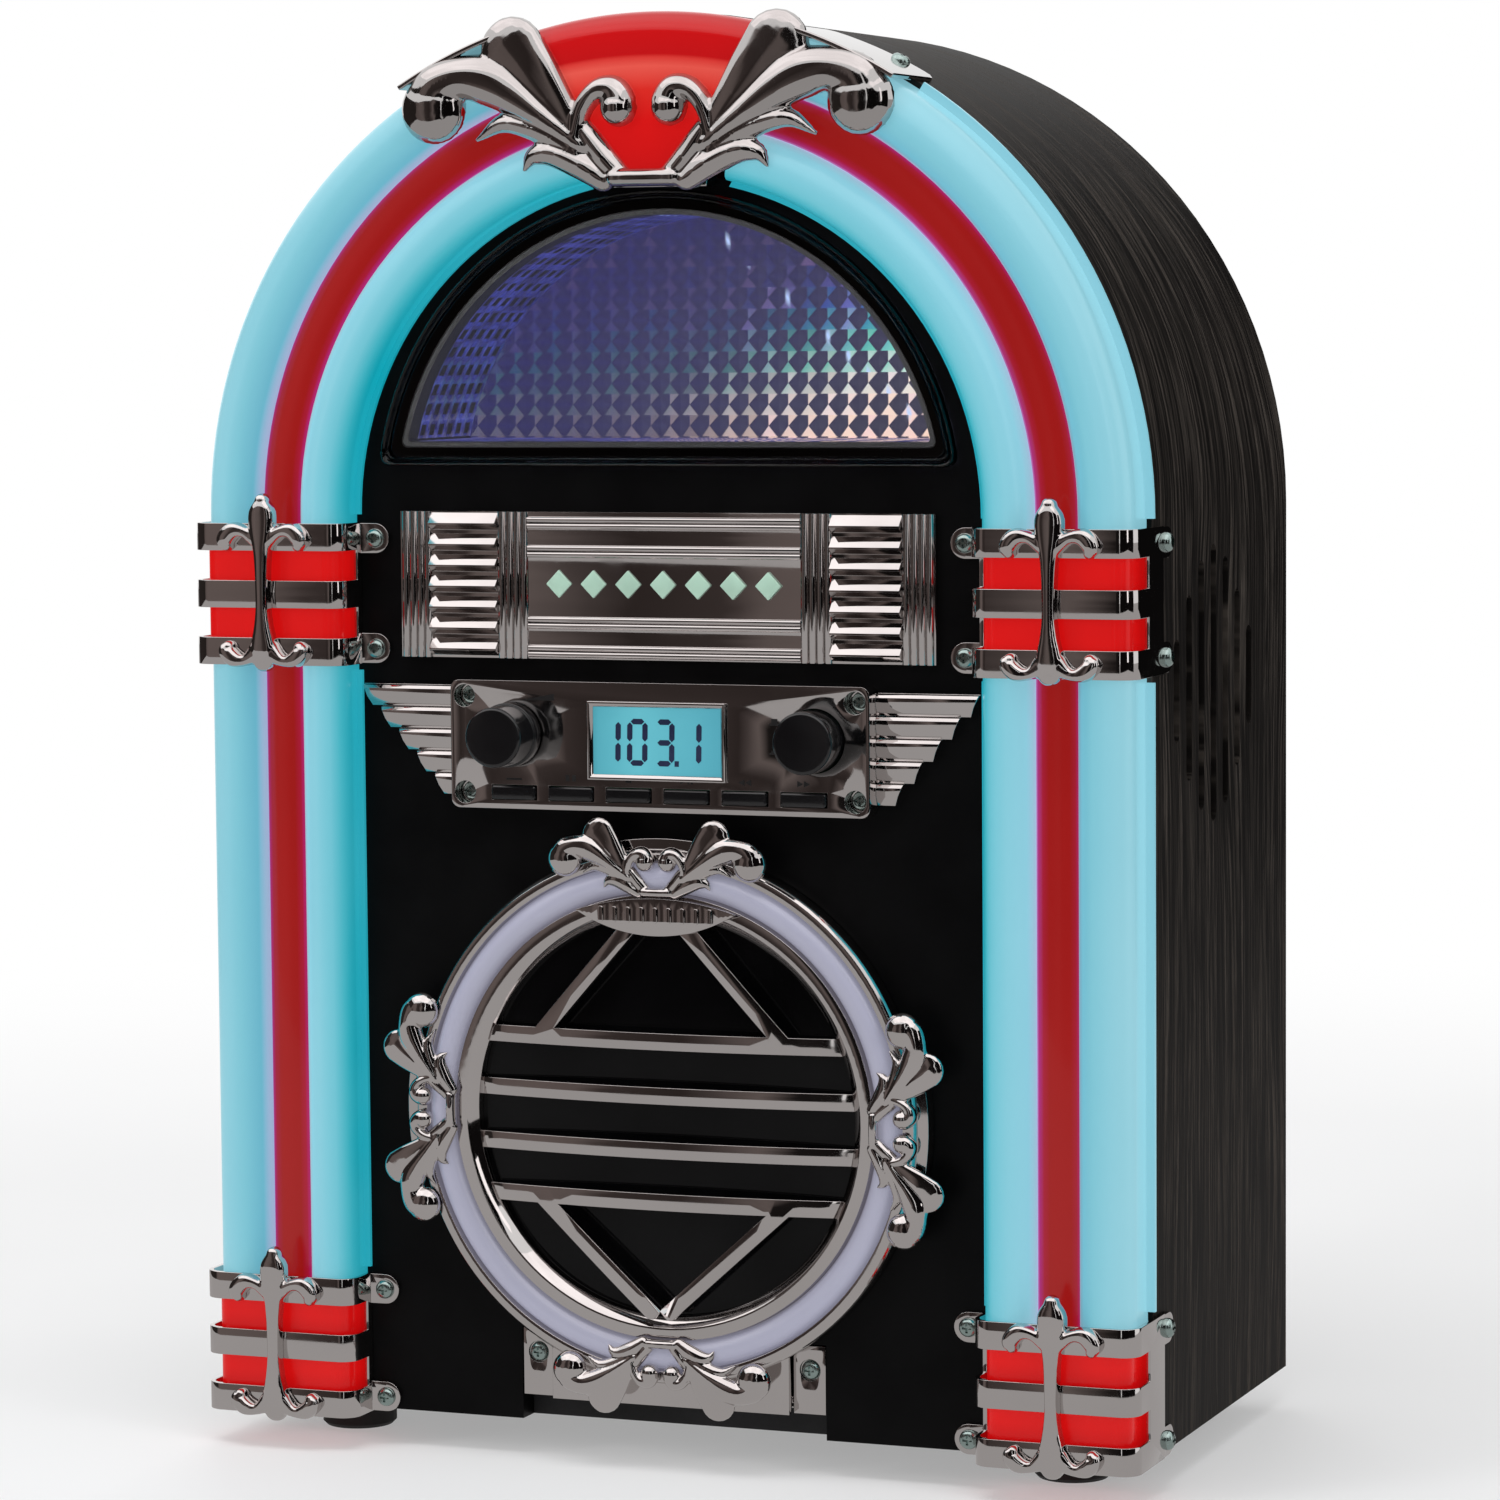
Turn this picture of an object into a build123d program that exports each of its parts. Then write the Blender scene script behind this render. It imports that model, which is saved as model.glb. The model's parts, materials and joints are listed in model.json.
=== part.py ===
from build123d import *
import os
from math import cos, pi, radians, sin, sqrt, tan

# Tabletop CD jukebox, in millimetres. X runs to the right, Z up, and the front faces -Y.
# Depths are counted from the front face of the baffle, which is y = 0. At export the whole
# model moves along Y, so that the origin is the centre of its footprint on the table.

# Cabinet. Its width sets the tubes, the door between them and the heights above the door.
cabinet_half_width = 157.0
cabinet_wall = 12.0
cabinet_front = 6.5
cabinet_back = 160.5
foot_height = 12.0
foot_radius = 12.2
foot_x = cabinet_half_width - 33.0
foot_front_y = 29.0
foot_back_y = cabinet_back - 26.5
fit_gap = 0.3
pin_gap = 0.05
tube_inner = cabinet_half_width - 50.0
door_radius = tube_inner - 22.0
door_z = door_radius + 28.0
radio_bottom = door_z + door_radius + 11.8
radio_top = radio_bottom + 40.7
grille_bottom = radio_top + 6.7
grille_top = grille_bottom + 46.5
spring_height = grille_top - 1.2

# Baffle
panel_half_width = tube_inner - fit_gap
panel_thickness = 8.5
seat_thickness = 11.5
notch_half_width = 52.0
notch_top = 42.3

# Light tubes: two rounded lobes with a strip between them
lobe_inner_radius = 8.2
lobe_outer_radius = 8.9
strip_width = 14.2
tube_wall = 2.0
tube_shoulder = 5.0
strip_floor = 3.0
strip_thickness = 1.6
strip_crown = 0.9
flange_thickness = 1.5
flange_inner_reach = 2.0
flange_outer_reach = 2.8
tube_tuck = 3.0
led_thickness = 1.6
led_width = 10.0

# Clamps at the four tube joints
clamp_height = 45.5
clamp_upper_top = spring_height - 2.5
clamp_lower_bottom = 11.0
clamp_sheet = 1.5
clamp_inner = tube_inner - 2.0
clamp_front = 15.7
clamp_corner = 6.0
clamp_reach_back = 14.4
clamp_bar_depth = 3.5
clamp_side_start = -0.8
band_height = 8.8
clamp_screw_inset = 5.1
clamp_ear_x = clamp_inner - 5.2
clamp_ear_radius = 4.8
clamp_side_screw_y = 17.5
collar_wall = 2.0
collar_side_gap = 1.8
collar_front = 13.0
collar_corner = 5.0
fleur_x = tube_inner + 25.0
fleur_thickness = 4.5

# Screws
screw_head_radius = 3.1
screw_head_height = 2.0
screw_shank_radius = 1.5
screw_length = 9.0
screw_slot_width = 0.8

# Crown
crown_base_z = spring_height + tube_inner - 5.0
crown_back = 14.2
crown_sheet = 3.0
crown_relief = 5.4
crown_foot_front = 9.0
crown_foot_half_width = 18.5
crown_screw_x = 14.5
crown_tab_start = 17.5
crown_tab_end = 31.5
crown_tab_screw_angle = 27.4
crown_gap_low = (24.0, crown_base_z + 2.0)
crown_gap_high = (50.0, crown_base_z + 48.0)
lens_front = 13.5
lens_wall = 2.0
lens_low_half = 8.5
lens_neck = (20.0, crown_base_z + 21.0)
lens_shoulder = (42.0, crown_base_z + 47.5)
crown_led_half = 12.0
crown_led_low = 23.0
crown_led_high = 35.0

# Dome window
dome_center_z = spring_height + 3.7
dome_radius = tube_inner - 8.7
dome_bottom = spring_height + 15.5
dome_corner = 5.0
dome_bezel_width = 2.7
dome_bezel_depth = 3.5
dome_lens_thickness = 2.0
dome_seat = 3.2
dome_depth = 50.0
dome_foil_wall = 1.5
dome_flange = 6.0

# Name panel between dome and radio
grille_half_width = tube_inner - 16.6
grille_plate = 2.0
rib_half_end = grille_half_width - 10.9
rib_half_start = rib_half_end - 23.0
rib_count = 7
rib_depth = 3.0
flute_count = 4
flute_radius = 1.3
rail_radius = 1.0
rail_levels = (2.4, 11.4, 34.0, 43.0)
inlay_count = 7
inlay_pitch = (rib_half_start - 10.47) / 3.9
inlay_z = grille_bottom + 23.8

# Radio panel
radio_half_width = tube_inner - 36.2
radio_depth = 8.4
radio_face = 3.0
radio_corner = 3.0
radio_screw_x = radio_half_width - 4.8
radio_screw_inset = 5.0
radio_screw_seat = 2.5
radio_cut_half_width = radio_half_width - 9.3
window_half_width = 21.5
window_half_height = 10.6
window_z = radio_bottom + 22.4
bezel_border = 1.8
bezel_slope = 1.0
knob_x = 21.3 - radio_half_width
knob_z = radio_bottom + 23.7
knob_radius = 10.2
knob_front = 24.3
knob_skirt = 0.7
light_x = radio_half_width - 18.3
light_radius = 9.8
light_front = 19.8
light_travel = 3.0
light_plunger_radius = 2.5
light_plunger_depth = 6.0
shaft_radius = 3.0
button_count = 6
button_pitch = (2 * radio_half_width - 43.6) / 5
button_width = button_pitch - 4.6
button_height = 4.2
button_z = radio_bottom + 5.2
button_proud = 1.2
button_travel = 1.0
tact_height = 0.8
board_thickness = 1.6
wing_steps = 5
wing_top = radio_top - 2.2
wing_tip = tube_inner - 2.6
wing_step_x = 6.2
wing_slant = 3.0
wing_step_z = 7.0
wing_depth = 2.8

# Door
door_back = 0.3
door_plate = 2.5
door_rim_width = 4.2
door_rim_front = 8.5
ring_outer = door_radius - 4.3
ring_inner = ring_outer - 9.4
ring_front = 9.3
door_hole = door_radius - 21.0
inner_rim_front = 8.0
inner_rim_flat = door_hole + 3.0
window_seat = 3.3
window_thickness = 1.4
grille_bow = 5.5
grille_bar_depth = 2.5
bar_height = 5.4
bar_offsets = (24.6, 7.4, -9.9, -26.4)
brace_width = 5.0
brace_reach = door_hole - 22.0
push_half_width = 27.0
push_top = door_hole + 6.0
push_bottom = push_top - 11.8
push_front = 11.8
push_thickness = 1.2
keystone_radius = door_radius + 3.5
keystone_angle = 11.0
keystone_front = 6.0
ornament_scale = 0.44
ornament_base = door_radius - 14.7
ornament_back = 9.6
ornament_thickness = 4.0
apron_half_width = 40.5
apron_bottom = 19.8
apron_top = door_z - door_radius + 15.0
hinge_y = 3.0
hinge_z = 24.0
knuckle_radius = 3.0
pin_radius = 1.5
pin_inner = 34.0
bracket_inner = 41.0
bracket_front = 0.2
screw_sink = 1.2
bracket_bottom = 20.0
bracket_screw_x = 46.5
bracket_screw_z = 34.0
plunger_radius = 3.2
plunger_z = door_z + door_radius - 5.5
plunger_travel = 2.5
catch_depth = 14.0

# Disc well and player deck
well_radius = door_hole + 8.0
well_wall = 2.0
well_depth = 34.0
well_flange = 5.0
post_radius = 4.0
post_x = well_radius - 26.0
post_z = well_radius / 2
post_length = 4.0
deck_thickness = 1.5
hub_radius = 13.0
spigot_radius = 7.4
disc_plane_y = 26.0
spindle_radius = 1.0
motor_radius = 10.0
motor_length = 11.0
sled_start_x = 22.0
sled_travel = well_radius - 37.0
sled_half_length = 9.0
sled_half_height = 16.5
sled_depth = 9.0
lens_turret_radius = 5.0
rail_offset = 11.0
rail_rod_radius = 1.5
gear_module = 1.25
gear_teeth = 16
gear_tooth_width = 1.5
gear_face = 4.0
rack_height = 2.2

# Speakers
speaker_y = cabinet_back / 2 - 6.45
speaker_z = radio_bottom + 38.2
speaker_radius = 46.0
speaker_depth = 30.0
magnet_radius = 22.0
cloth_thickness = 0.8
slot_pitch = 13.6
slot_width = 6.2
slot_lengths = (32.0, 58.0, 79.0, 88.0, 79.0, 57.0, 32.0)

# Back and mains side
rear_thickness = 8.0
batten_depth = 12.0
batten_width = 18.0
rear_inset = 2.0
vent_rows = 6
vent_pitch = 12.0
vent_bottom = spring_height + 27.5
inlet_half_width = 10.0
inlet_half_height = 7.0
inlet_x = -70.0
inlet_z = 52.0
inlet_depth = 22.0
aux_x = 70.0
aux_z = 52.0
aux_radius = 3.2

tube_lobe_one = tube_inner + lobe_inner_radius
strip_start = tube_inner + 2 * lobe_inner_radius
strip_end = strip_start + strip_width
tube_lobe_two = strip_end + lobe_outer_radius
tube_outer = strip_end + 2 * lobe_outer_radius
seat_back = cabinet_front + seat_thickness
cabinet_inner = cabinet_half_width - cabinet_wall
base_top = foot_height + cabinet_wall
rear_face = cabinet_back - rear_inset
gear_radius = gear_module * gear_teeth / 2
deck_front = well_depth + post_length
deck_back = deck_front + deck_thickness
sled_front = deck_back + 0.5
sled_back = sled_front + sled_depth
rack_root = door_z - sled_half_height
rack_line = rack_root - gear_module * 1.2
gear_x = sled_start_x + sled_travel / 2
gear_z = rack_line - gear_radius
y_shift = (knob_front - cabinet_back) / 2


def front(y):
    """Plane at depth y that faces the viewer: its x is X and its y is Z."""
    return Plane(origin=(0, y, 0), x_dir=(1, 0, 0), z_dir=(0, -1, 0))


def slab(sketch, y_front, y_back):
    """Extrude a front-view sketch between two depths."""
    return extrude(front(y_back) * sketch, amount=y_back - y_front)


def disc(x, z, radius, y_front, y_back):
    return slab(Pos(x, z) * Circle(radius), y_front, y_back)


def block(x0, x1, y0, y1, z0, z1):
    middle = Pos((x0 + x1) / 2, (y0 + y1) / 2, (z0 + z1) / 2)
    return middle * Box(abs(x1 - x0), abs(y1 - y0), abs(z1 - z0))


def rod_x(x0, x1, y, z, radius):
    return Pos((x0 + x1) / 2, y, z) * Rot(0, 90, 0) * Cylinder(radius, abs(x1 - x0))


def flipped(shape):
    """The same shape on the other side of the centre plane."""
    return mirror(shape, about=Plane.YZ)


def group(shapes):
    """Several separate solids kept as one node."""
    solids = []
    for shape in shapes:
        solids.extend(shape.solids())
    return Compound(solids)


def pair(shape):
    """A right-hand piece with its mirrored twin."""
    return group([shape, flipped(shape)])


def arch_sketch(half, bottom):
    """Upright outline with a half-round head about the spring line."""
    return make_face([
        Line((-half, bottom), (half, bottom)),
        Line((half, bottom), (half, spring_height)),
        ThreePointArc((half, spring_height), (0, spring_height + half), (-half, spring_height)),
        Line((-half, spring_height), (-half, bottom)),
    ])


def dome_sketch(inset):
    """Outline of the dome window, drawn in by inset."""
    radius = dome_radius - inset
    bottom = dome_bottom + inset
    segment = Pos(0, dome_center_z) * Circle(radius)
    segment &= Pos(0, bottom + radius) * Rectangle(2 * radius, 2 * radius)
    corners = segment.vertices().sort_by(Axis.Y)[:2]
    return fillet(corners, max(dome_corner - inset / 2, 1.0))


def stroke(stations):
    """Tapered ribbon with round ends along a smooth line; stations are (x, z, half width)."""
    points = [Vector(x, z) for x, z, half in stations]
    spine = Spline(*points)
    left = []
    right = []
    for point, station in zip(points, stations):
        along = spine.tangent_at(point)
        side = Vector(-along.Y, along.X) * station[2]
        left.append(point + side)
        right.append(point - side)
    tip = points[-1] + spine.tangent_at(points[-1]) * stations[-1][2]
    tail = points[0] - spine.tangent_at(points[0]) * stations[0][2]
    return make_face([
        Spline(*left),
        ThreePointArc(left[-1], tip, right[-1]),
        Spline(*right[::-1]),
        ThreePointArc(right[0], tail, left[0]),
    ])


def both_sides(sketch):
    return sketch + mirror(sketch, about=Plane.YZ)


def cross_screw():
    """Pan-head screw along Y: the head's underside is y = 0 and the shank runs to +Y."""
    dome = screw_head_radius * 0.7
    profile = make_face([
        Line((0, -screw_head_height), (screw_head_radius * 0.35, -screw_head_height)),
        ThreePointArc(
            (screw_head_radius * 0.35, -screw_head_height),
            (dome + 0.35, -screw_head_height * 0.75),
            (screw_head_radius, 0),
        ),
        Line((screw_head_radius, 0), (screw_shank_radius, 0)),
        Line((screw_shank_radius, 0), (screw_shank_radius, screw_length)),
        Line((screw_shank_radius, screw_length), (0, screw_length)),
        Line((0, screw_length), (0, -screw_head_height)),
    ])
    body = revolve(profile, Axis.Y)
    arm = screw_head_radius
    depth = screw_head_height * 0.5
    cross = Pos(0, -screw_head_height, 0) * Box(arm, 2 * depth, screw_slot_width)
    cross += Pos(0, -screw_head_height, 0) * Box(screw_slot_width, 2 * depth, arm)
    return body - cross


def screw_hole():
    length = screw_length + 1
    return Pos(0, length / 2 - 0.5, 0) * Rot(90, 0, 0) * Cylinder(screw_shank_radius + pin_gap, length)


def front_screw_places():
    """Screws driven from the front: name to places (x, y of the seat, z)."""
    clamp = []
    for side in (-1, 1):
        for z in clamp_screw_heights():
            clamp.append((side * clamp_ear_x, -clamp_sheet, z))
    radio = []
    for side in (-1, 1):
        for z in (radio_top - radio_screw_inset, radio_bottom + radio_screw_inset):
            radio.append((side * radio_screw_x, -radio_screw_seat, z))
    hinge = [(side * bracket_screw_x, bracket_front + screw_sink, bracket_screw_z) for side in (-1, 1)]
    crown = [(side * crown_screw_x, -crown_foot_front, crown_base_z + 3.0) for side in (-1, 1)]
    return clamp, radio, hinge, crown


def clamp_screw_heights():
    heights = []
    for bottom in (clamp_lower_bottom, clamp_upper_top - clamp_height):
        heights.append(bottom + clamp_screw_inset)
        heights.append(bottom + clamp_height - clamp_screw_inset)
    return heights


def side_screw_poses():
    """Screws driven into the cabinet's sides, as placements of a front screw."""
    poses = []
    for side in (-1, 1):
        for z in clamp_screw_heights():
            seat = Pos(side * (cabinet_half_width + clamp_sheet), clamp_side_screw_y, z)
            poses.append(seat * Rot(0, 0, side * 90))
    return poses


def crown_side_screw_poses():
    """Screws driven down through the crown's tabs into the top of the arch."""
    poses = []
    for side in (-1, 1):
        turn = Pos(0, 0, spring_height) * Rot(0, side * crown_tab_screw_angle, 0)
        seat = Pos(0, clamp_side_screw_y, cabinet_half_width + clamp_sheet)
        poses.append(turn * seat * Rot(-90, 0, 0))
    return poses


# Cabinet, base, baffle and back

def cabinet_shell():
    shell = slab(arch_sketch(cabinet_half_width, foot_height), cabinet_front, cabinet_back)
    shell -= slab(arch_sketch(cabinet_inner, foot_height - 1), cabinet_front - 1, cabinet_back + 1)
    batten_back = rear_face - rear_thickness
    battens = slab(arch_sketch(cabinet_inner + 1, base_top), batten_back - batten_depth, batten_back)
    inside = arch_sketch(cabinet_inner - batten_width, base_top + batten_width)
    shell += battens - slab(inside, cabinet_front, cabinet_back)
    for x, z in rear_screw_places():
        shell -= rear_screw_hole(x, z)
    middle = (len(slot_lengths) - 1) / 2
    for number, length in enumerate(slot_lengths):
        y = speaker_y + (number - middle) * slot_pitch
        outline = Plane.YZ * Pos(y, speaker_z) * Rot(0, 0, 90) * SlotOverall(length, slot_width)
        shell -= extrude(outline, amount=cabinet_half_width + 1, both=True)
    for pose in side_screw_poses() + crown_side_screw_poses():
        shell -= pose * screw_hole()
    return shell


def base_board():
    board = block(-cabinet_inner, cabinet_inner, panel_thickness, cabinet_back, foot_height, base_top)
    for x, y in foot_places():
        board -= Pos(x, y, foot_height + 3.5) * Cylinder(screw_shank_radius + pin_gap, 7)
    return board


def foot_places():
    places = []
    for side in (-1, 1):
        places.append((side * foot_x, foot_front_y))
        places.append((side * foot_x, foot_back_y))
    return places


def feet():
    made = []
    for x, y in foot_places():
        foot = Pos(x, y, foot_height / 2) * Cylinder(foot_radius, foot_height)
        foot = chamfer(foot.edges().group_by(Axis.Z)[0], 1.2)
        foot -= Pos(x, y, 2.5) * Cylinder(screw_head_radius + 1, 5)
        foot -= Pos(x, y, foot_height / 2) * Cylinder(screw_shank_radius + pin_gap, foot_height)
        made.append(foot)
    return group(made)


def foot_screws():
    seat_z = 5.0
    turn = Rot(90, 0, 0)
    return group([Pos(x, y, seat_z) * turn * cross_screw() for x, y in foot_places()])


def front_baffle():
    baffle = slab(arch_sketch(panel_half_width, foot_height), 0, panel_thickness)
    seat = arch_sketch(cabinet_inner - fit_gap, base_top + fit_gap)
    baffle += slab(seat, cabinet_front, seat_back)
    baffle -= block(-notch_half_width, notch_half_width, -1, panel_thickness, foot_height - 1, notch_top)
    baffle -= disc(0, door_z, well_radius + fit_gap, -1, seat_back + 1)
    baffle -= slab(dome_sketch(dome_bezel_width + dome_seat), -1, seat_back + 1)
    baffle -= block(
        -radio_cut_half_width, radio_cut_half_width, -1, seat_back + 1, radio_bottom + 3, radio_top - 3
    )
    baffle -= disc(0, plunger_z, plunger_radius + fit_gap, -1, seat_back + 1)
    clamp, radio, hinge, crown = front_screw_places()
    for x, y, z in clamp + radio + crown:
        baffle -= Pos(x, y, z) * screw_hole()
    for x, y, z in hinge:
        baffle -= Pos(x, panel_thickness, z) * screw_hole()
    return baffle


def rear_screw_places():
    places = []
    for side in (-1, 1):
        for z in (base_top + 10, (spring_height - 32.5) / 2, spring_height - 66.5):
            places.append((side * (cabinet_inner - 9), z))
        reach = cabinet_inner - 10.5
        places.append((side * reach * sin(radians(48)), spring_height + reach * cos(radians(48))))
    places.append((0, spring_height + cabinet_inner - 9))
    places.append((0, base_top + 10))
    return places


def rear_panel():
    outline = arch_sketch(cabinet_inner - fit_gap, base_top + fit_gap)
    panel = slab(outline, rear_face - rear_thickness, rear_face)
    for row in range(vent_rows):
        z = vent_bottom + row * vent_pitch
        for column in range(-3, 4):
            panel -= slab(Pos(column * 22, z) * SlotOverall(16, 4), rear_face - 20, rear_face + 1)
    inlet = Rectangle(2 * inlet_half_width + 2 * pin_gap, 2 * inlet_half_height + 2 * pin_gap)
    panel -= slab(Pos(inlet_x, inlet_z) * inlet, rear_face - 20, rear_face + 1)
    panel -= disc(aux_x, aux_z, aux_radius + 2 + pin_gap, rear_face - 20, rear_face + 1)
    for x, z in rear_screw_places():
        panel -= rear_screw_hole(x, z)
    return panel


def rear_screw_hole(x, z):
    return disc(x, z, screw_shank_radius + pin_gap, rear_face - screw_length - 1, rear_face + 1)


def rear_screws():
    turn = Rot(0, 0, 180)
    return group([Pos(x, rear_face, z) * turn * cross_screw() for x, z in rear_screw_places()])


def mains_inlet():
    y_in = rear_face - inlet_depth
    body = block(
        inlet_x - inlet_half_width, inlet_x + inlet_half_width, y_in, rear_face,
        inlet_z - inlet_half_height, inlet_z + inlet_half_height,
    )
    body += block(
        inlet_x - inlet_half_width - 2, inlet_x + inlet_half_width + 2, rear_face, rear_face + 1.2,
        inlet_z - inlet_half_height - 2, inlet_z + inlet_half_height + 2,
    )
    body -= slab(Pos(inlet_x, inlet_z) * SlotOverall(16, 9), rear_face - 14, rear_face + 2)
    for side in (-1, 1):
        body += disc(inlet_x + side * 4.3, inlet_z, 1.2, rear_face - 14, rear_face - 3)
    return body


def aux_socket():
    body = disc(aux_x, aux_z, aux_radius + 2, rear_face - 14, rear_face)
    body += disc(aux_x, aux_z, aux_radius + 3.6, rear_face, rear_face + 1.5)
    return body - disc(aux_x, aux_z, aux_radius - 1.4, rear_face - 12, rear_face + 2)


# Light tubes

def lobe_arc(center, radius, y):
    return ThreePointArc((center - radius, y), (center, y - radius), (center + radius, y))


def tube_core_profile():
    """Section of the diffuser without its flanges: x is the distance out, y the depth."""
    wall = tube_wall
    back = cabinet_front
    shoulder = -tube_shoulder
    floor_front = -strip_floor
    floor_back = -strip_floor + wall
    one = lobe_inner_radius
    two = lobe_outer_radius
    return make_face([
        Line((tube_inner, back), (tube_inner, shoulder)),
        lobe_arc(tube_lobe_one, one, shoulder),
        Line((strip_start, shoulder), (strip_start, floor_front)),
        Line((strip_start, floor_front), (strip_end, floor_front)),
        Line((strip_end, floor_front), (strip_end, shoulder)),
        lobe_arc(tube_lobe_two, two, shoulder),
        Line((tube_outer, shoulder), (tube_outer, back)),
        Line((tube_outer, back), (tube_outer - wall, back)),
        Line((tube_outer - wall, back), (tube_outer - wall, shoulder)),
        lobe_arc(tube_lobe_two, two - wall, shoulder),
        Line((strip_end + wall, shoulder), (strip_end + wall, floor_back)),
        Line((strip_end + wall, floor_back), (strip_start - wall, floor_back)),
        Line((strip_start - wall, floor_back), (strip_start - wall, shoulder)),
        lobe_arc(tube_lobe_one, one - wall, shoulder),
        Line((tube_inner + wall, shoulder), (tube_inner + wall, back)),
        Line((tube_inner + wall, back), (tube_inner, back)),
    ])


def strip_profile():
    gap = fit_gap / 3
    low = -strip_floor
    top = -strip_floor - strip_thickness
    start = strip_start + gap
    end = strip_end - gap
    return make_face([
        Line((start, low), (start, top)),
        ThreePointArc((start, top), ((start + end) / 2, top - strip_crown), (end, top)),
        Line((end, top), (end, low)),
        Line((end, low), (start, low)),
    ])


def flange_profiles():
    inner = Pos(tube_inner - flange_inner_reach / 2, -flange_thickness / 2)
    inner *= Rectangle(flange_inner_reach, flange_thickness)
    outer = Pos(tube_outer + flange_outer_reach / 2, cabinet_front - flange_thickness / 2)
    outer *= Rectangle(flange_outer_reach, flange_thickness)
    return inner, outer


def led_profile():
    middle = (tube_inner + tube_outer) / 2
    return Pos(middle, cabinet_front - led_thickness / 2) * Rectangle(led_width, led_thickness)


def upright(profile, z0, z1):
    return extrude(Pos(0, 0, z0) * profile, amount=z1 - z0)


def round_head(profile, z0, sweep):
    """Right half of the arch: straight from z0 to the spring line, then round by sweep degrees."""
    axis = Axis((0, 0, spring_height), (0, -1, 0))
    bend = revolve(Pos(0, 0, spring_height) * profile, axis, revolution_arc=sweep)
    if z0 < spring_height:
        bend += upright(profile, z0, spring_height)
    return bend


def crown_gap_prism():
    """Space that the crown takes out of the arch's head."""
    (x0, z0), (x1, z1) = crown_gap_low, crown_gap_high
    lean = (x1 - x0) / (z1 - z0)
    low_z = z0 - 20
    high_z = z1 + 20
    low_x = x0 - 20 * lean
    high_x = x1 + 20 * lean
    outline = make_face(Polyline(
        (-low_x, low_z), (low_x, low_z), (high_x, high_z), (-high_x, high_z), close=True
    ))
    return slab(outline, -30, 30)


pillar_bottom = clamp_lower_bottom + clamp_height - tube_tuck
pillar_top = clamp_upper_top - clamp_height + tube_tuck
arch_bottom = clamp_upper_top - tube_tuck
flange_trim = tube_tuck + 2


def pillar_diffuser():
    tube = upright(tube_core_profile(), pillar_bottom, pillar_top)
    for flange in flange_profiles():
        tube += upright(flange, pillar_bottom + flange_trim, pillar_top - flange_trim)
    return tube


def arch_diffuser():
    tube = round_head(tube_core_profile(), arch_bottom, 90)
    inner, outer = flange_profiles()
    tube += round_head(inner, spring_height, 90)
    tube += round_head(outer, spring_height, 90 - crown_tab_end - 1)
    return tube - crown_gap_prism()


def arch_strip():
    return round_head(strip_profile(), arch_bottom, 90) - crown_gap_prism()


def pillar_strip():
    return upright(strip_profile(), pillar_bottom, pillar_top)


def led_strips():
    pillar = upright(led_profile(), pillar_bottom + 10, pillar_top - 10)
    arch = round_head(led_profile(), spring_height, 60)
    crown = block(
        -crown_led_half, crown_led_half, cabinet_front - led_thickness, cabinet_front,
        crown_base_z + crown_led_low, crown_base_z + crown_led_high,
    )
    return group([pillar, flipped(pillar), arch, flipped(arch), crown])


# Clamps, collars and their ornaments

def plan_outline(x0, x1, y0, y1, corner):
    """Plan outline with two rounded front corners."""
    outline = Pos((x0 + x1) / 2, (y0 + y1) / 2) * Rectangle(x1 - x0, y1 - y0)
    return fillet(outline.vertices().sort_by(Axis.Y)[:2], corner)


def collar(bottom):
    x0 = clamp_inner + clamp_sheet + collar_side_gap
    x1 = cabinet_half_width - collar_side_gap
    section = plan_outline(x0, x1, -collar_front, cabinet_front, collar_corner)
    section -= plan_outline(
        x0 + collar_wall, x1 - collar_wall, -collar_front + collar_wall, cabinet_front + 1,
        collar_corner - collar_wall,
    )
    z0 = bottom + (tube_tuck if bottom > spring_height / 2 else 0)
    z1 = bottom + clamp_height - tube_tuck
    return upright(section, z0 + fit_gap, z1 - fit_gap)


def clamp(bottom):
    x0 = clamp_inner
    x1 = cabinet_half_width + clamp_sheet
    top = bottom + clamp_height
    section = plan_outline(x0, x1, -clamp_front, clamp_reach_back, clamp_corner)
    section -= plan_outline(
        x0 + clamp_sheet, cabinet_half_width, -clamp_front + clamp_sheet, clamp_reach_back + 1,
        clamp_corner - clamp_sheet,
    )
    section -= Pos(x0, clamp_reach_back) * Rectangle(10, 2 * clamp_reach_back)
    pitch = (clamp_height - band_height) / 2
    body = block(x0, x0 + clamp_sheet, -clamp_bar_depth, 0, bottom, top)
    body += block(cabinet_half_width, x1, clamp_side_start, clamp_reach_back, bottom, top)
    for number in range(3):
        z = bottom + number * pitch
        body += upright(section, z, z + band_height)
    for z in (bottom + clamp_screw_inset, top - clamp_screw_inset):
        ear = disc(clamp_ear_x, z, clamp_ear_radius, -clamp_sheet, 0)
        ear += block(clamp_ear_x, x0, -clamp_sheet, 0, z - clamp_ear_radius, z + clamp_ear_radius)
        body += ear - disc(clamp_ear_x, z, screw_shank_radius + pin_gap, -5, 5)
        side = block(
            cabinet_half_width, x1, clamp_reach_back, clamp_side_screw_y + 1.3,
            z - clamp_ear_radius, z + clamp_ear_radius,
        )
        side += rod_x(cabinet_half_width, x1, clamp_side_screw_y + 1.3, z, clamp_ear_radius)
        side -= rod_x(cabinet_half_width - 1, x1 + 1, clamp_side_screw_y, z, screw_shank_radius + pin_gap)
        body += side
    return body


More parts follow.
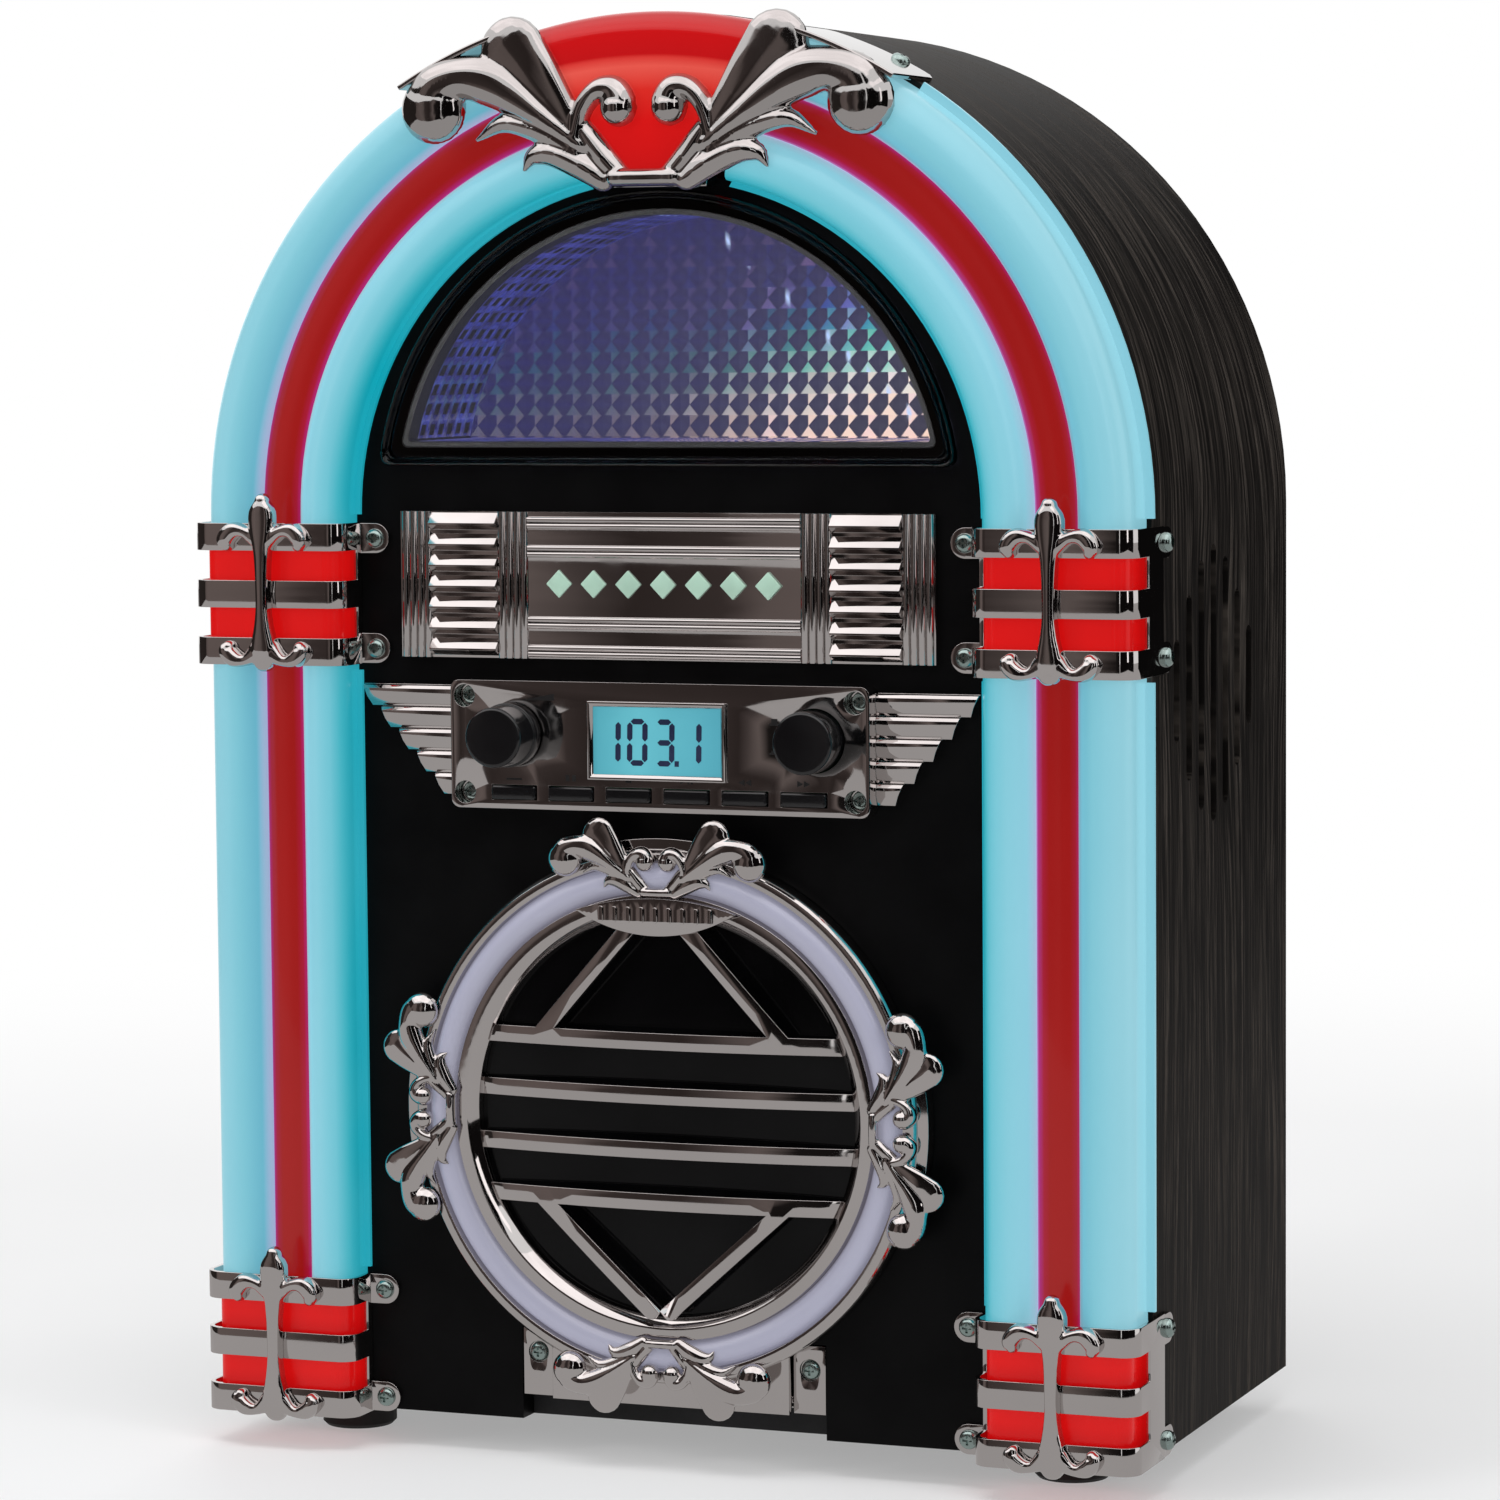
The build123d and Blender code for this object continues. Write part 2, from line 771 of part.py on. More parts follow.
def fleur(bottom):
    """Lily-shaped ornament on the front of a clamp whose underside is at bottom."""
    zero = bottom + clamp_height - 5.6
    stem = stroke([
        (0, 12.6, 2.6), (0, 9.5, 4.4), (0, 5.5, 4.8), (0, 1, 4.0), (0, -6, 2.9), (0, -14, 2.4),
        (0, -21, 2.4), (0, -28, 3.2), (0, -34, 4.6), (0, -38, 4.2),
    ])
    right = stroke([(1, 1.0, 2.8), (5, 2.8, 2.3), (9, 3.6, 2.2), (12.4, 2.4, 2.6), (13.6, 0.2, 2.8)])
    right += Pos(13.6, -0.1) * Circle(3.2)
    right += stroke([(2, -34.5, 3.2), (6, -37.4, 2.4), (10, -38.2, 2.4), (12.6, -36.8, 2.6)])
    right += Pos(12.9, -36.3) * Circle(3.3)
    outline = stem + both_sides(right)
    placed = Pos(fleur_x, zero) * outline
    return slab(placed, -clamp_front - fleur_thickness, -clamp_front)


def clamp_bottoms():
    return (clamp_lower_bottom, clamp_upper_top - clamp_height)


def trim_screws():
    """All the screws that hold the trim on the front and on the edge of the case."""
    made = []
    for places in front_screw_places():
        made += [Pos(x, y, z) * cross_screw() for x, y, z in places]
    made += [pose * cross_screw() for pose in side_screw_poses() + crown_side_screw_poses()]
    return group(made)


# Crown

def scroll_half(scale, parts):
    """Right half of the scrolled ornament about its base; parts picks the low or raised leaves."""
    low = [
        [(8.5, 4, 3.0), (13.5, 9.5, 3.2), (18, 15.5, 3.0), (21.5, 20.5, 2.4)],
        [(14, 3, 3.0), (22, 8, 3.8), (31, 11.4, 3.6), (37.6, 10.2, 2.2), (40.4, 7.2, 0.6)],
        [(23, 12, 2.8), (35, 18.4, 3.2), (47, 20.6, 2.4), (56, 16.4, 0.6)],
        [(20, 14, 2.2), (27.5, 23, 3.6), (37, 34, 5.6), (43.5, 41.5, 6.4), (45, 43.4, 6.2)],
    ]
    raised = [
        [(21, 14, 2.2), (33, 22.5, 3.6), (44, 30, 5.6), (53, 34, 6.2), (62, 34.6, 5.6), (69, 32, 6.4)],
        [(22.8, 14.5, 2.0), (20.2, 24, 2.4), (15.8, 29.8, 2.8), (10.4, 30.2, 3.2)],
    ]
    bulbs = [(72, 26, 9.2), (8.5, 26.4, 4.9)]
    sketch = None
    for stations in low if parts == "low" else raised:
        ribbon = stroke([(x * scale, z * scale, half * scale) for x, z, half in stations])
        sketch = ribbon if sketch is None else sketch + ribbon
    if parts == "raised":
        for x, z, radius in bulbs:
            sketch += Pos(x * scale, z * scale) * Circle(radius * scale)
    return sketch


def crown_ornament():
    place = Pos(0, crown_base_z)
    low = place * both_sides(scroll_half(1, "low"))
    raised = place * both_sides(scroll_half(1, "raised"))
    crown = slab(low, -crown_back - crown_sheet, -crown_back)
    crown += slab(raised, -crown_back - crown_relief, -crown_back)
    bar = Pos(0, crown_base_z + 3) * Rectangle(22, 5)
    crown += slab(bar, -crown_back - crown_sheet, -crown_foot_front)
    foot = Pos(0, crown_base_z + 3) * Rectangle(2 * crown_foot_half_width, 5)
    crown += slab(foot, -crown_foot_front, 0)
    crown += slab(Pos(0, crown_base_z + 3) * Rectangle(34, 5), -crown_back, -crown_foot_front)
    for side in (-1, 1):
        well = disc(side * crown_screw_x, crown_base_z + 3, screw_head_radius + 0.4, -30, -crown_foot_front)
        crown -= well
        crown -= disc(side * crown_screw_x, crown_base_z + 3, screw_shank_radius + pin_gap, -30, 5)
    band = Pos(0, spring_height) * (
        Circle(cabinet_half_width + clamp_sheet) - Circle(cabinet_half_width)
    )
    for side in (-1, 1):
        slice_ = sector_sketch(crown_tab_start * side, crown_tab_end * side)
        tab = slab(band & slice_, -crown_back - crown_sheet, clamp_side_screw_y + 6)
        crown += tab
    for pose in crown_side_screw_poses():
        crown -= pose * Pos(0, 1, 0) * Rot(90, 0, 0) * Cylinder(screw_shank_radius + pin_gap, 12)
    return crown


def sector_sketch(start, end):
    """Thin wedge from the arch's centre, between two angles from the vertical."""
    reach = 2 * cabinet_half_width
    a, b = radians(start), radians(end)
    return make_face(Polyline(
        (0, spring_height),
        (reach * sin(a), spring_height + reach * cos(a)),
        (reach * sin(b), spring_height + reach * cos(b)),
        close=True,
    ))


def crown_lens():
    (x1, z1), (x2, z2) = lens_neck, lens_shoulder
    lean = (x2 - x1) / (z2 - z1)
    low = crown_base_z + 6
    high = spring_height + cabinet_half_width + 10
    far = x1 + (high - z1) * lean
    fan = make_face(Polyline(
        (-lens_low_half, low), (lens_low_half, low), (x1, z1), (far, high),
        (-far, high), (-x1, z1), close=True,
    ))
    outline = fan & (Pos(0, spring_height) * Circle(cabinet_half_width - 0.2))
    body = slab(outline, -lens_front, cabinet_front - 0.2)
    front_edges = body.edges().group_by(Axis.Y)[0]
    top_edge = front_edges.sort_by(Axis.Z)[-1]
    body = fillet(top_edge, 7)
    inner = offset(outline, -lens_wall)
    hollow = slab(inner & (Pos(0, spring_height) * Circle(cabinet_half_width - 8)),
                  -lens_front + lens_wall, cabinet_front)
    return body - hollow


# Dome window

def dome_bezel():
    frame = slab(dome_sketch(0), -dome_bezel_depth, 0)
    return frame - slab(dome_sketch(dome_bezel_width), -dome_bezel_depth - 1, 1)


def dome_lens():
    pane = slab(dome_sketch(dome_bezel_width + 0.1), -dome_lens_thickness, 0)
    return fillet(pane.edges().group_by(Axis.Y)[0], 0.6)


def dome_reflector():
    inset = dome_bezel_width + dome_seat + fit_gap
    tray = slab(dome_sketch(inset), fit_gap, dome_depth)
    tray += slab(dome_sketch(inset - dome_flange), seat_back, seat_back + dome_foil_wall)
    return tray - slab(dome_sketch(inset + dome_foil_wall), -1, dome_depth - dome_foil_wall)


# Name panel

def grille_panel():
    middle_z = (grille_bottom + grille_top) / 2
    height = grille_top - grille_bottom
    face = -grille_plate
    panel = block(-grille_half_width, grille_half_width, face, 0, grille_bottom, grille_top)
    flute_run = flute_count * 2 * flute_radius
    for side in (-1, 1):
        for start in (rib_half_end, rib_half_start - flute_run):
            for number in range(flute_count):
                x = side * (start + (2 * number + 1) * flute_radius)
                panel += Pos(x, face, middle_z) * Cylinder(flute_radius, height)
        pitch = height / rib_count
        for number in range(rib_count):
            z = grille_bottom + (number + 0.5) * pitch
            rib = make_face(Polyline(
                (face, z - 2.6), (face - rib_depth, z - 0.9), (face - rib_depth, z - 0.3),
                (face, z + 2.9), close=True,
            ))
            width = rib_half_end - rib_half_start
            start_x = rib_half_start if side > 0 else -rib_half_end
            panel += extrude(Plane.YZ.offset(start_x) * rib, amount=width)
    field = rib_half_start - flute_run
    for level in rail_levels:
        z = grille_bottom + level
        for shift in (-rail_radius, rail_radius):
            panel += rod_x(-field, field, face, z + shift, rail_radius)
    return panel & block(-grille_half_width, grille_half_width, -20, 0, grille_bottom, grille_top)


def name_inlays():
    """Row of plain lozenges on the name field."""
    made = []
    middle = (inlay_count - 1) / 2
    for number in range(inlay_count):
        x = (number - middle) * inlay_pitch
        lozenge = make_face(Polyline((x - 4.4, inlay_z), (x, inlay_z - 4.5), (x + 4.4, inlay_z),
                                     (x, inlay_z + 4.5), close=True))
        made.append(slab(lozenge, -grille_plate - 0.8, -grille_plate))
    return group(made)


# Radio panel and its controls

def button_places():
    middle = (button_count - 1) / 2
    return [(number - middle) * button_pitch for number in range(button_count)]


def radio_panel():
    middle_z = (radio_top + radio_bottom) / 2
    height = radio_top - radio_bottom
    panel = slab(Pos(0, middle_z) * RectangleRounded(2 * radio_half_width, height, radio_corner),
                 -radio_depth, 0)
    cavity_top = radio_top - 4
    cavity_bottom = radio_bottom + 2
    half = radio_cut_half_width - 1
    panel -= block(-half, half, -radio_depth + radio_face, 1, cavity_bottom, cavity_top)
    for side in (-1, 1):
        for z in (cavity_bottom + 9.5, cavity_top - 2.5):
            panel += disc(side * (half - 2.5), z, 2.4, -radio_depth + radio_face - 0.5, 0)
    opening = Rectangle(2 * window_half_width + 2, 2 * window_half_height + 2)
    panel -= slab(Pos(0, window_z) * opening, -20, 1)
    panel -= disc(knob_x, knob_z, shaft_radius + fit_gap, -20, 1)
    panel -= disc(light_x, knob_z, light_radius + fit_gap, -20, 1)
    for x in button_places():
        hole = Rectangle(button_width + 2 * fit_gap, button_height + 2 * fit_gap)
        panel -= slab(Pos(x, button_z) * hole, -20, 1)
    for x, y, z in front_screw_places()[1]:
        panel -= disc(x, z, screw_head_radius + 0.5, -20, y)
        panel -= disc(x, z, screw_shank_radius + pin_gap, -20, 1)
    return panel


def wing_trim():
    """Right-hand wing: stepped louvres with slanted ends."""
    wing = None
    for step in range(wing_steps):
        top = wing_top - step * wing_step_z
        low = top - wing_step_z
        tip = wing_tip - step * wing_step_x
        section = make_face(Polyline(
            (0, top), (-wing_depth * 0.75, top - 0.4), (-wing_depth, top - 1.4), (-wing_depth, top - 4.0),
            (-wing_depth * 0.45, low), (0, low), close=True,
        ))
        bar = extrude(Plane.YZ.offset(radio_half_width) * section, amount=tip - radio_half_width + 5)
        bar += block(radio_half_width, tip + 5, -wing_depth * 0.3, 0, low, top)
        outline = make_face(Polyline(
            (radio_half_width, low), (tip - wing_slant, low), (tip, top), (radio_half_width, top),
            close=True,
        ))
        bar &= slab(outline, -wing_depth - 1, 1)
        wing = bar if wing is None else wing + bar
    return wing


def display_bezel():
    outer = Rectangle(2 * (window_half_width + bezel_border), 2 * (window_half_height + bezel_border))
    inner = Rectangle(2 * window_half_width, 2 * window_half_height)
    frame = slab(Pos(0, window_z) * (outer - inner), -radio_depth - 1.4, -radio_depth)
    inner_edges = [edge for edge in frame.edges().group_by(Axis.Y)[0]
                   if abs(edge.center().X) <= window_half_width + 0.1
                   and abs(edge.center().Z - window_z) <= window_half_height + 0.1]
    return chamfer(inner_edges, bezel_slope)


def display_module():
    half_x = window_half_width + 0.8
    half_z = window_half_height + 0.8
    glass = -radio_depth + 0.6
    return block(-half_x, half_x, glass, 0, window_z - half_z, window_z + half_z)


def control_board():
    board = block(
        -radio_cut_half_width + 1, radio_cut_half_width - 1, 0, board_thickness,
        radio_bottom + 3.5, radio_top - 3.5,
    )
    board -= disc(knob_x, knob_z, shaft_radius + 1, -1, board_thickness + 1)
    board -= disc(light_x, knob_z, 3.2, -1, board_thickness + 1)
    for x in button_places():
        board += block(x - 3, x + 3, -tact_height, 0, button_z - 1.8, button_z + 1.8)
    return board


def volume_pot():
    body = block(knob_x - 8, knob_x + 8, board_thickness, board_thickness + 8, knob_z - 8, knob_z + 8)
    return body - disc(knob_x, knob_z, shaft_radius + pin_gap, -1, board_thickness + 6.1)


def volume_shaft():
    return disc(knob_x, knob_z, shaft_radius, -knob_front + 4, board_thickness + 6)


def volume_knob():
    knob = disc(knob_x, knob_z, knob_radius - knob_skirt, -knob_front, -radio_depth - 0.5)
    knob = fillet(knob.edges().group_by(Axis.Y)[0], 1.2)
    knob += disc(knob_x, knob_z, knob_radius, -radio_depth - 5.0, -radio_depth - 0.5)
    return knob - disc(knob_x, knob_z, shaft_radius + 0.02, -knob_front + 4, 0)


def light_switch():
    depth = board_thickness + light_plunger_depth + light_travel
    body = block(light_x - 7, light_x + 7, board_thickness, depth + 2, knob_z - 7, knob_z + 7)
    return body - disc(light_x, knob_z, light_plunger_radius + pin_gap, -1, depth + 0.5)


def light_button():
    cap = disc(light_x, knob_z, light_radius, -light_front, -radio_depth + 1.5)
    cap = fillet(cap.edges().group_by(Axis.Y)[0], 1.2)
    tip = board_thickness + light_plunger_depth
    return cap + disc(light_x, knob_z, light_plunger_radius, -radio_depth + 1.5, tip)


def key_button(x):
    face = -radio_depth - button_proud
    back = -tact_height - button_travel - fit_gap / 2
    cap = slab(Pos(x, button_z) * RectangleRounded(button_width, button_height, 0.8), face, back)
    return chamfer(cap.edges().group_by(Axis.Y)[0], 0.4)


# Door

def ring_profile(points):
    """Closed profile of (radius, depth) corners turned about the door's axis."""
    face = make_face(Polyline(*points, close=True))
    return revolve(Pos(0, 0, door_z) * face, Axis((0, 0, door_z), (0, 1, 0)))


def door_frame():
    back = -door_back
    plate = back - door_plate
    rim_in = door_radius - door_rim_width
    frame = ring_profile([
        (door_hole, back), (door_hole, -5.0), (inner_rim_flat, -inner_rim_front),
        (ring_inner - 0.3, -inner_rim_front), (ring_inner - 0.3, plate), (rim_in, plate),
        (rim_in, -door_rim_front), (door_radius - 1.2, -door_rim_front), (door_radius, -door_rim_front + 1.6),
        (door_radius, back),
    ])
    keystone = Pos(0, door_z) * (Circle(keystone_radius) - Circle(door_radius - 1))
    a = radians(keystone_angle)
    reach = 150
    for turn in (0, 90, -90):
        wedge = make_face(Polyline((0, 0), (reach * sin(a), reach * cos(a)),
                                   (-reach * sin(a), reach * cos(a)), close=True))
        wedge = Pos(0, door_z) * Rot(0, 0, turn) * wedge
        frame += slab(keystone & wedge, -keystone_front, back)
    apron = Pos(0, (apron_bottom + apron_top) / 2)
    apron *= Rectangle(2 * apron_half_width, apron_top - apron_bottom)
    apron -= Pos(0, door_z) * Circle(door_radius - 2)
    frame += slab(apron, plate, back)
    frame += rod_x(-apron_half_width, apron_half_width, hinge_y, hinge_z, knuckle_radius)
    frame += block(-apron_half_width, apron_half_width, back - 0.5, hinge_y, hinge_z - 2, hinge_z + 2)
    for side in (-1, 1):
        frame -= rod_x(side * (pin_inner - 0.5), side * (apron_half_width + 1), hinge_y, hinge_z,
                       pin_radius + pin_gap)
    seat = disc(0, door_z, door_hole + window_seat + fit_gap, back - window_thickness - 0.1, back + 1)
    return frame - seat


def door_light_ring():
    base = -door_back - door_plate
    middle = (ring_inner + ring_outer) / 2
    half = (ring_outer - ring_inner) / 2 - 0.15
    side = -ring_front + half
    profile = make_face([
        Line((middle - half, base), (middle - half, side)),
        ThreePointArc((middle - half, side), (middle, -ring_front), (middle + half, side)),
        Line((middle + half, side), (middle + half, base)),
        Line((middle + half, base), (middle - half, base)),
    ])
    return revolve(Pos(0, 0, door_z) * profile, Axis((0, 0, door_z), (0, 1, 0)))


def bowed_sheet():
    """Curved sheet that the grille bars are cut from: it bows forward in the middle."""
    half = door_hole
    edge = -5.0
    depth = grille_bar_depth
    peak = edge - grille_bow
    plan = make_face([
        ThreePointArc((-half, edge), (0, peak), (half, edge)),
        Line((half, edge), (half, edge + depth)),
        ThreePointArc((half, edge + depth), (0, peak + depth), (-half, edge + depth)),
        Line((-half, edge + depth), (-half, edge)),
    ])
    return upright(plan, door_z - door_hole, door_z + door_hole)


def brace(x0, z0, x1, z1):
    """Straight bar between two points of the front view."""
    length = sqrt((x1 - x0) ** 2 + (z1 - z0) ** 2)
    ux, uz = (x1 - x0) / length, (z1 - z0) / length
    half = brace_width / 2
    return make_face(Polyline(
        (x0 - uz * half, z0 + ux * half), (x1 - uz * half, z1 + ux * half),
        (x1 + uz * half, z1 - ux * half), (x0 + uz * half, z0 - ux * half), close=True,
    ))


def door_grille():
    bars = None
    for offset_z in bar_offsets:
        bar = Pos(0, door_z + offset_z) * Rectangle(2 * door_hole, bar_height)
        bars = bar if bars is None else bars + bar
    high = door_z + bar_offsets[0]
    low = door_z + bar_offsets[-1]
    for side in (-1, 1):
        bars += brace(side * brace_reach, high, side * 9, door_z + push_bottom + 3)
        bars += brace(side * brace_reach, low, side * 1.5, door_z - door_hole + 1)
    bars &= Pos(0, door_z) * Circle(door_hole)
    return slab(bars, -20, 0) & bowed_sheet()


def door_window():
    radius = door_hole + window_seat
    return disc(0, door_z, radius, -door_back - window_thickness, -door_back)


def push_plate():
    half = push_half_width
    top = door_z + push_top
    low = door_z + push_bottom
    end_z = top - 4.2
    outline = make_face([
        ThreePointArc((-half, end_z), (0, top), (half, end_z)),
        ThreePointArc((half, end_z), (0, low), (-half, end_z)),
    ])
    plate_back = -push_front + push_thickness
    plate = slab(outline, -push_front, plate_back)
    for number in range(-4, 5):
        pip = Pos(number * 4.6, (top + low) / 2 + 0.6) * RectangleRounded(1.6, 5.0, 0.7)
        plate += slab(pip, -push_front - 0.5, -push_front)
    return plate + disc(0, top - 2.4, 2.0, plate_back, -inner_rim_front)


def door_ornament():
    """Small scrolled ornament at the top of the door, standing on the outer rim."""
    place = Pos(0, door_z + ornament_base)
    low = place * both_sides(scroll_half(ornament_scale, "low"))
    raised = place * both_sides(scroll_half(ornament_scale, "raised"))
    thin = ornament_thickness * 0.6
    made = slab(low, -ornament_back - thin, -ornament_back)
    made += slab(raised, -ornament_back - ornament_thickness, -ornament_back)
    bar = place * Pos(0, 1.4) * Rectangle(16, 2.4)
    made += slab(bar, -ornament_back - thin, -ornament_back)
    for side in (-1, 1):
        foot = Pos(side * 16, door_z + sqrt((door_radius - 2.6) ** 2 - 16 ** 2))
        made += slab(foot * Circle(1.3), -ornament_back, -door_rim_front)
    return made


def door_ornaments():
    one = door_ornament()
    axis = Pos(0, 0, door_z)
    back = Pos(0, 0, -door_z)
    return group([axis * Rot(0, turn, 0) * back * one for turn in (0, 90, 180, 270)])


def hinge_brackets():
    made = []
    for side in (-1, 1):
        x0, x1 = side * bracket_inner, side * (notch_half_width - fit_gap)
        body = block(x0, x1, bracket_front, panel_thickness, bracket_bottom, notch_top - 2 * fit_gap)
        body += rod_x(side * pin_inner, side * (bracket_inner + 1), hinge_y, hinge_z, pin_radius)
        hole_x = side * bracket_screw_x
        body -= disc(hole_x, bracket_screw_z, screw_shank_radius + pin_gap, -5, 20)
        body -= disc(hole_x, bracket_screw_z, screw_head_radius + 0.4, -5, bracket_front + screw_sink)
        made.append(body)
    return group(made)


def catch_housing():
    front_y = seat_back
    body = block(-9, 9, front_y, front_y + catch_depth, plunger_z - 6.2, plunger_z + 7)
    return body - disc(0, plunger_z, plunger_radius + pin_gap, front_y - 1, front_y + catch_depth - 2)


def catch_plunger():
    """Sprung plunger that touches the back of the door."""
    rod = disc(0, plunger_z, plunger_radius, 0, seat_back + catch_depth - 2 - plunger_travel - 0.5)
    return chamfer(rod.edges().group_by(Axis.Y)[0], 0.6)


# Disc well and player deck

def slot_sketch():
    """Slot in the well's floor that the pickup lens looks through."""
    length = sled_travel + 2 * (lens_turret_radius + 2)
    return Pos(gear_x, door_z) * SlotOverall(length, 2 * (lens_turret_radius + 2))


def disc_well():
    floor_back = well_depth
    floor_front = well_depth - well_wall
    well = disc(0, door_z, well_radius, 1.0, floor_back)
    well -= disc(0, door_z, well_radius - well_wall, 0, floor_front)
    flange = Circle(well_radius + well_flange) - Circle(well_radius - 1)
    flange &= Pos(0, -1) * Rectangle(3 * well_radius, 2 * well_radius + 4)
    well += slab(Pos(0, door_z) * flange, seat_back, seat_back + well_wall)
    well -= disc(0, door_z, spindle_radius + 2, 0, floor_back + 1)
    well -= slab(slot_sketch(), 0, floor_back + 1)
    for x, z in post_places():
        well += disc(x, z, post_radius, floor_back, floor_back + post_length)
    return well


def post_places():
    return [(sx * post_x, door_z + sz * post_z) for sx in (-1, 1) for sz in (-1, 1)]


def rail_lug_places():
    start = sled_start_x - sled_half_length - 2
    end = sled_start_x + sled_travel + sled_half_length + 2
    return start, end


def deck_chassis():
    x0 = -post_x - post_radius - 2
    start, end = rail_lug_places()
    x1 = end + 8
    height = post_z + post_radius + 2
    plate = block(x0, x1, deck_front, deck_back, door_z - height, door_z + height)
    plate -= slab(slot_sketch(), deck_front - 1, deck_back + 1)
    plate -= disc(0, door_z, spindle_radius + 1, deck_front - 1, deck_back + 1)
    plate -= disc(gear_x, gear_z, 1.5 + pin_gap, deck_front - 1, deck_back + 1)
    rail_y = rail_depth()
    for sign in (-1, 1):
        z = door_z + sign * rail_offset
        plate += block(start - 4, start, deck_back, rail_y + 4, z - 3, z + 3)
        plate += block(end, end + 4, deck_back, rail_y + 4, z - 3, z + 3)
        plate -= rod_x(start - 5, end + 5, rail_y, z, rail_rod_radius + 0.02)
    return plate


def rail_depth():
    return sled_front + sled_depth / 2


def sled_rails():
    start, end = rail_lug_places()
    rail_y = rail_depth()
    made = []
    for sign in (-1, 1):
        made.append(rod_x(start - 4, end + 4, rail_y, door_z + sign * rail_offset, rail_rod_radius))
    return group(made)


def spindle_motor():
    body = disc(0, door_z, motor_radius, deck_back, deck_back + motor_length)
    body += disc(0, door_z, 3.5, deck_back + motor_length, deck_back + motor_length + 2)
    return body - disc(0, door_z, spindle_radius + pin_gap, deck_back - 1, deck_back + motor_length)


def disc_hub():
    hub = disc(0, door_z, hub_radius, disc_plane_y, disc_plane_y + 2)
    hub += disc(0, door_z, spigot_radius, disc_plane_y - 5, disc_plane_y)
    hub = chamfer(hub.edges().group_by(Axis.Y)[0], 1.2)
    hub += disc(0, door_z, spindle_radius, disc_plane_y + 2, deck_back + motor_length - 1)
    for number in range(3):
        angle = radians(90 + number * 120)
        x = spigot_radius * cos(angle)
        z = door_z + spigot_radius * sin(angle)
        hub += Pos(x, disc_plane_y - 2, z) * Sphere(0.9)
    return hub


def rack_tooth(x):
    """One tooth of the rack, pointing down, with sides at twenty degrees."""
    lean = gear_module * tan(radians(20))
    half = gear_tooth_width / 2
    tip = rack_line - gear_module
    return make_face(Polyline(
        (x - half - lean * 1.2, rack_root), (x - half + lean, tip),
        (x + half - lean, tip), (x + half + lean * 1.2, rack_root), close=True,
    ))


def laser_sled():
    x0 = sled_start_x - sled_half_length
    x1 = sled_start_x + sled_half_length
    sled = block(x0, x1, sled_front, sled_back, rack_root, door_z + sled_half_height)
    for sign in (-1, 1):
        sled -= rod_x(x0 - 1, x1 + 1, rail_depth(), door_z + sign * rail_offset, rail_rod_radius + 0.06)
    sled += disc(sled_start_x, door_z, lens_turret_radius, disc_plane_y + 4, sled_front)
    sled += disc(sled_start_x, door_z, 2.2, disc_plane_y + 3.2, disc_plane_y + 4)
    pitch = pi * gear_module
    rack_start = gear_x - sled_travel - 6
    rack_top = rack_root + rack_height
    sled += block(rack_start, gear_x + 6, sled_front, sled_front + gear_face, rack_root, rack_top)
    teeth = int((sled_travel + 10) / pitch)
    for number in range(-1, teeth):
        x = gear_x - pitch / 2 - number * pitch
        sled += slab(rack_tooth(x), sled_front, sled_front + gear_face)
    return sled


def sled_gear():
    outer = gear_radius + gear_module * 0.9
    root = gear_radius - gear_module * 1.15
    profile = Circle(root)
    half = gear_tooth_width / 2
    lean = gear_module * tan(radians(20))
    for number in range(gear_teeth):
        turn = number * 360 / gear_teeth
        tooth = make_face(Polyline(
            (-half - lean, root - 0.4), (-half + lean * 0.9, outer),
            (half - lean * 0.9, outer), (half + lean, root - 0.4), close=True,
        ))
        profile += Rot(0, 0, turn) * tooth
    gear = slab(Pos(gear_x, gear_z) * profile, sled_front, sled_front + gear_face)
    gear += disc(gear_x, gear_z, 1.5, deck_front - 1, sled_front)
    return gear + disc(gear_x, gear_z, 1.0, sled_front + gear_face, sled_back + 6)


def sled_motor():
    front_y = sled_front + gear_face + 1.0
    body = disc(gear_x, gear_z, 8.5, front_y, front_y + 14)
    body -= disc(gear_x, gear_z, 1.0 + pin_gap, front_y - 1, sled_back + 8)
    lug_x = gear_x + 12
    body += block(gear_x, lug_x, front_y, front_y + 1.5, gear_z - 3, gear_z + 3)
    body -= disc(gear_x, gear_z, 1.0 + pin_gap, front_y - 1, sled_back + 8)
    body += block(lug_x, lug_x + 3, deck_back, front_y + 1.5, gear_z - 3, gear_z + 3)
    return body


# Speakers, boards and transformer

def right_speaker_parts():
    face_x = cabinet_inner - cloth_thickness
    axis = Pos(face_x, speaker_y, speaker_z) * Rot(0, -90, 0)
    frame = axis * Pos(0, 0, 1) * Cylinder(speaker_radius, 2)
    frame -= axis * Pos(0, 0, 1) * Cylinder(speaker_radius - 6, 4)
    basket = axis * Pos(0, 0, speaker_depth / 2) * Cone(speaker_radius - 5, magnet_radius, speaker_depth - 2)
    basket -= axis * Pos(0, 0, speaker_depth / 2 - 0.01) * Cone(speaker_radius - 6.5, magnet_radius - 1.5,
                                                              speaker_depth - 1)
    magnet_place = axis * Pos(0, 0, speaker_depth - 1 + 6)
    magnet = magnet_place * Cylinder(magnet_radius, 12)
    cone = axis * Pos(0, 0, 12) * Cone(speaker_radius - 8, 9, 20)
    cone -= axis * Pos(0, 0, 11.4) * Cone(speaker_radius - 8, 9, 20)
    cloth = axis * Pos(0, 0, -cloth_thickness / 2) * Cylinder(speaker_radius + 1, cloth_thickness)
    return frame + basket, magnet, cone, cloth


def transformer():
    outer = -cabinet_inner + 17
    back = rear_face - 34.5
    core = block(outer, outer + 54, back - 46, back, base_top, base_top + 44)
    core += block(outer + 6, outer + 48, back - 54, back + 8, base_top + 9, base_top + 35)
    return core


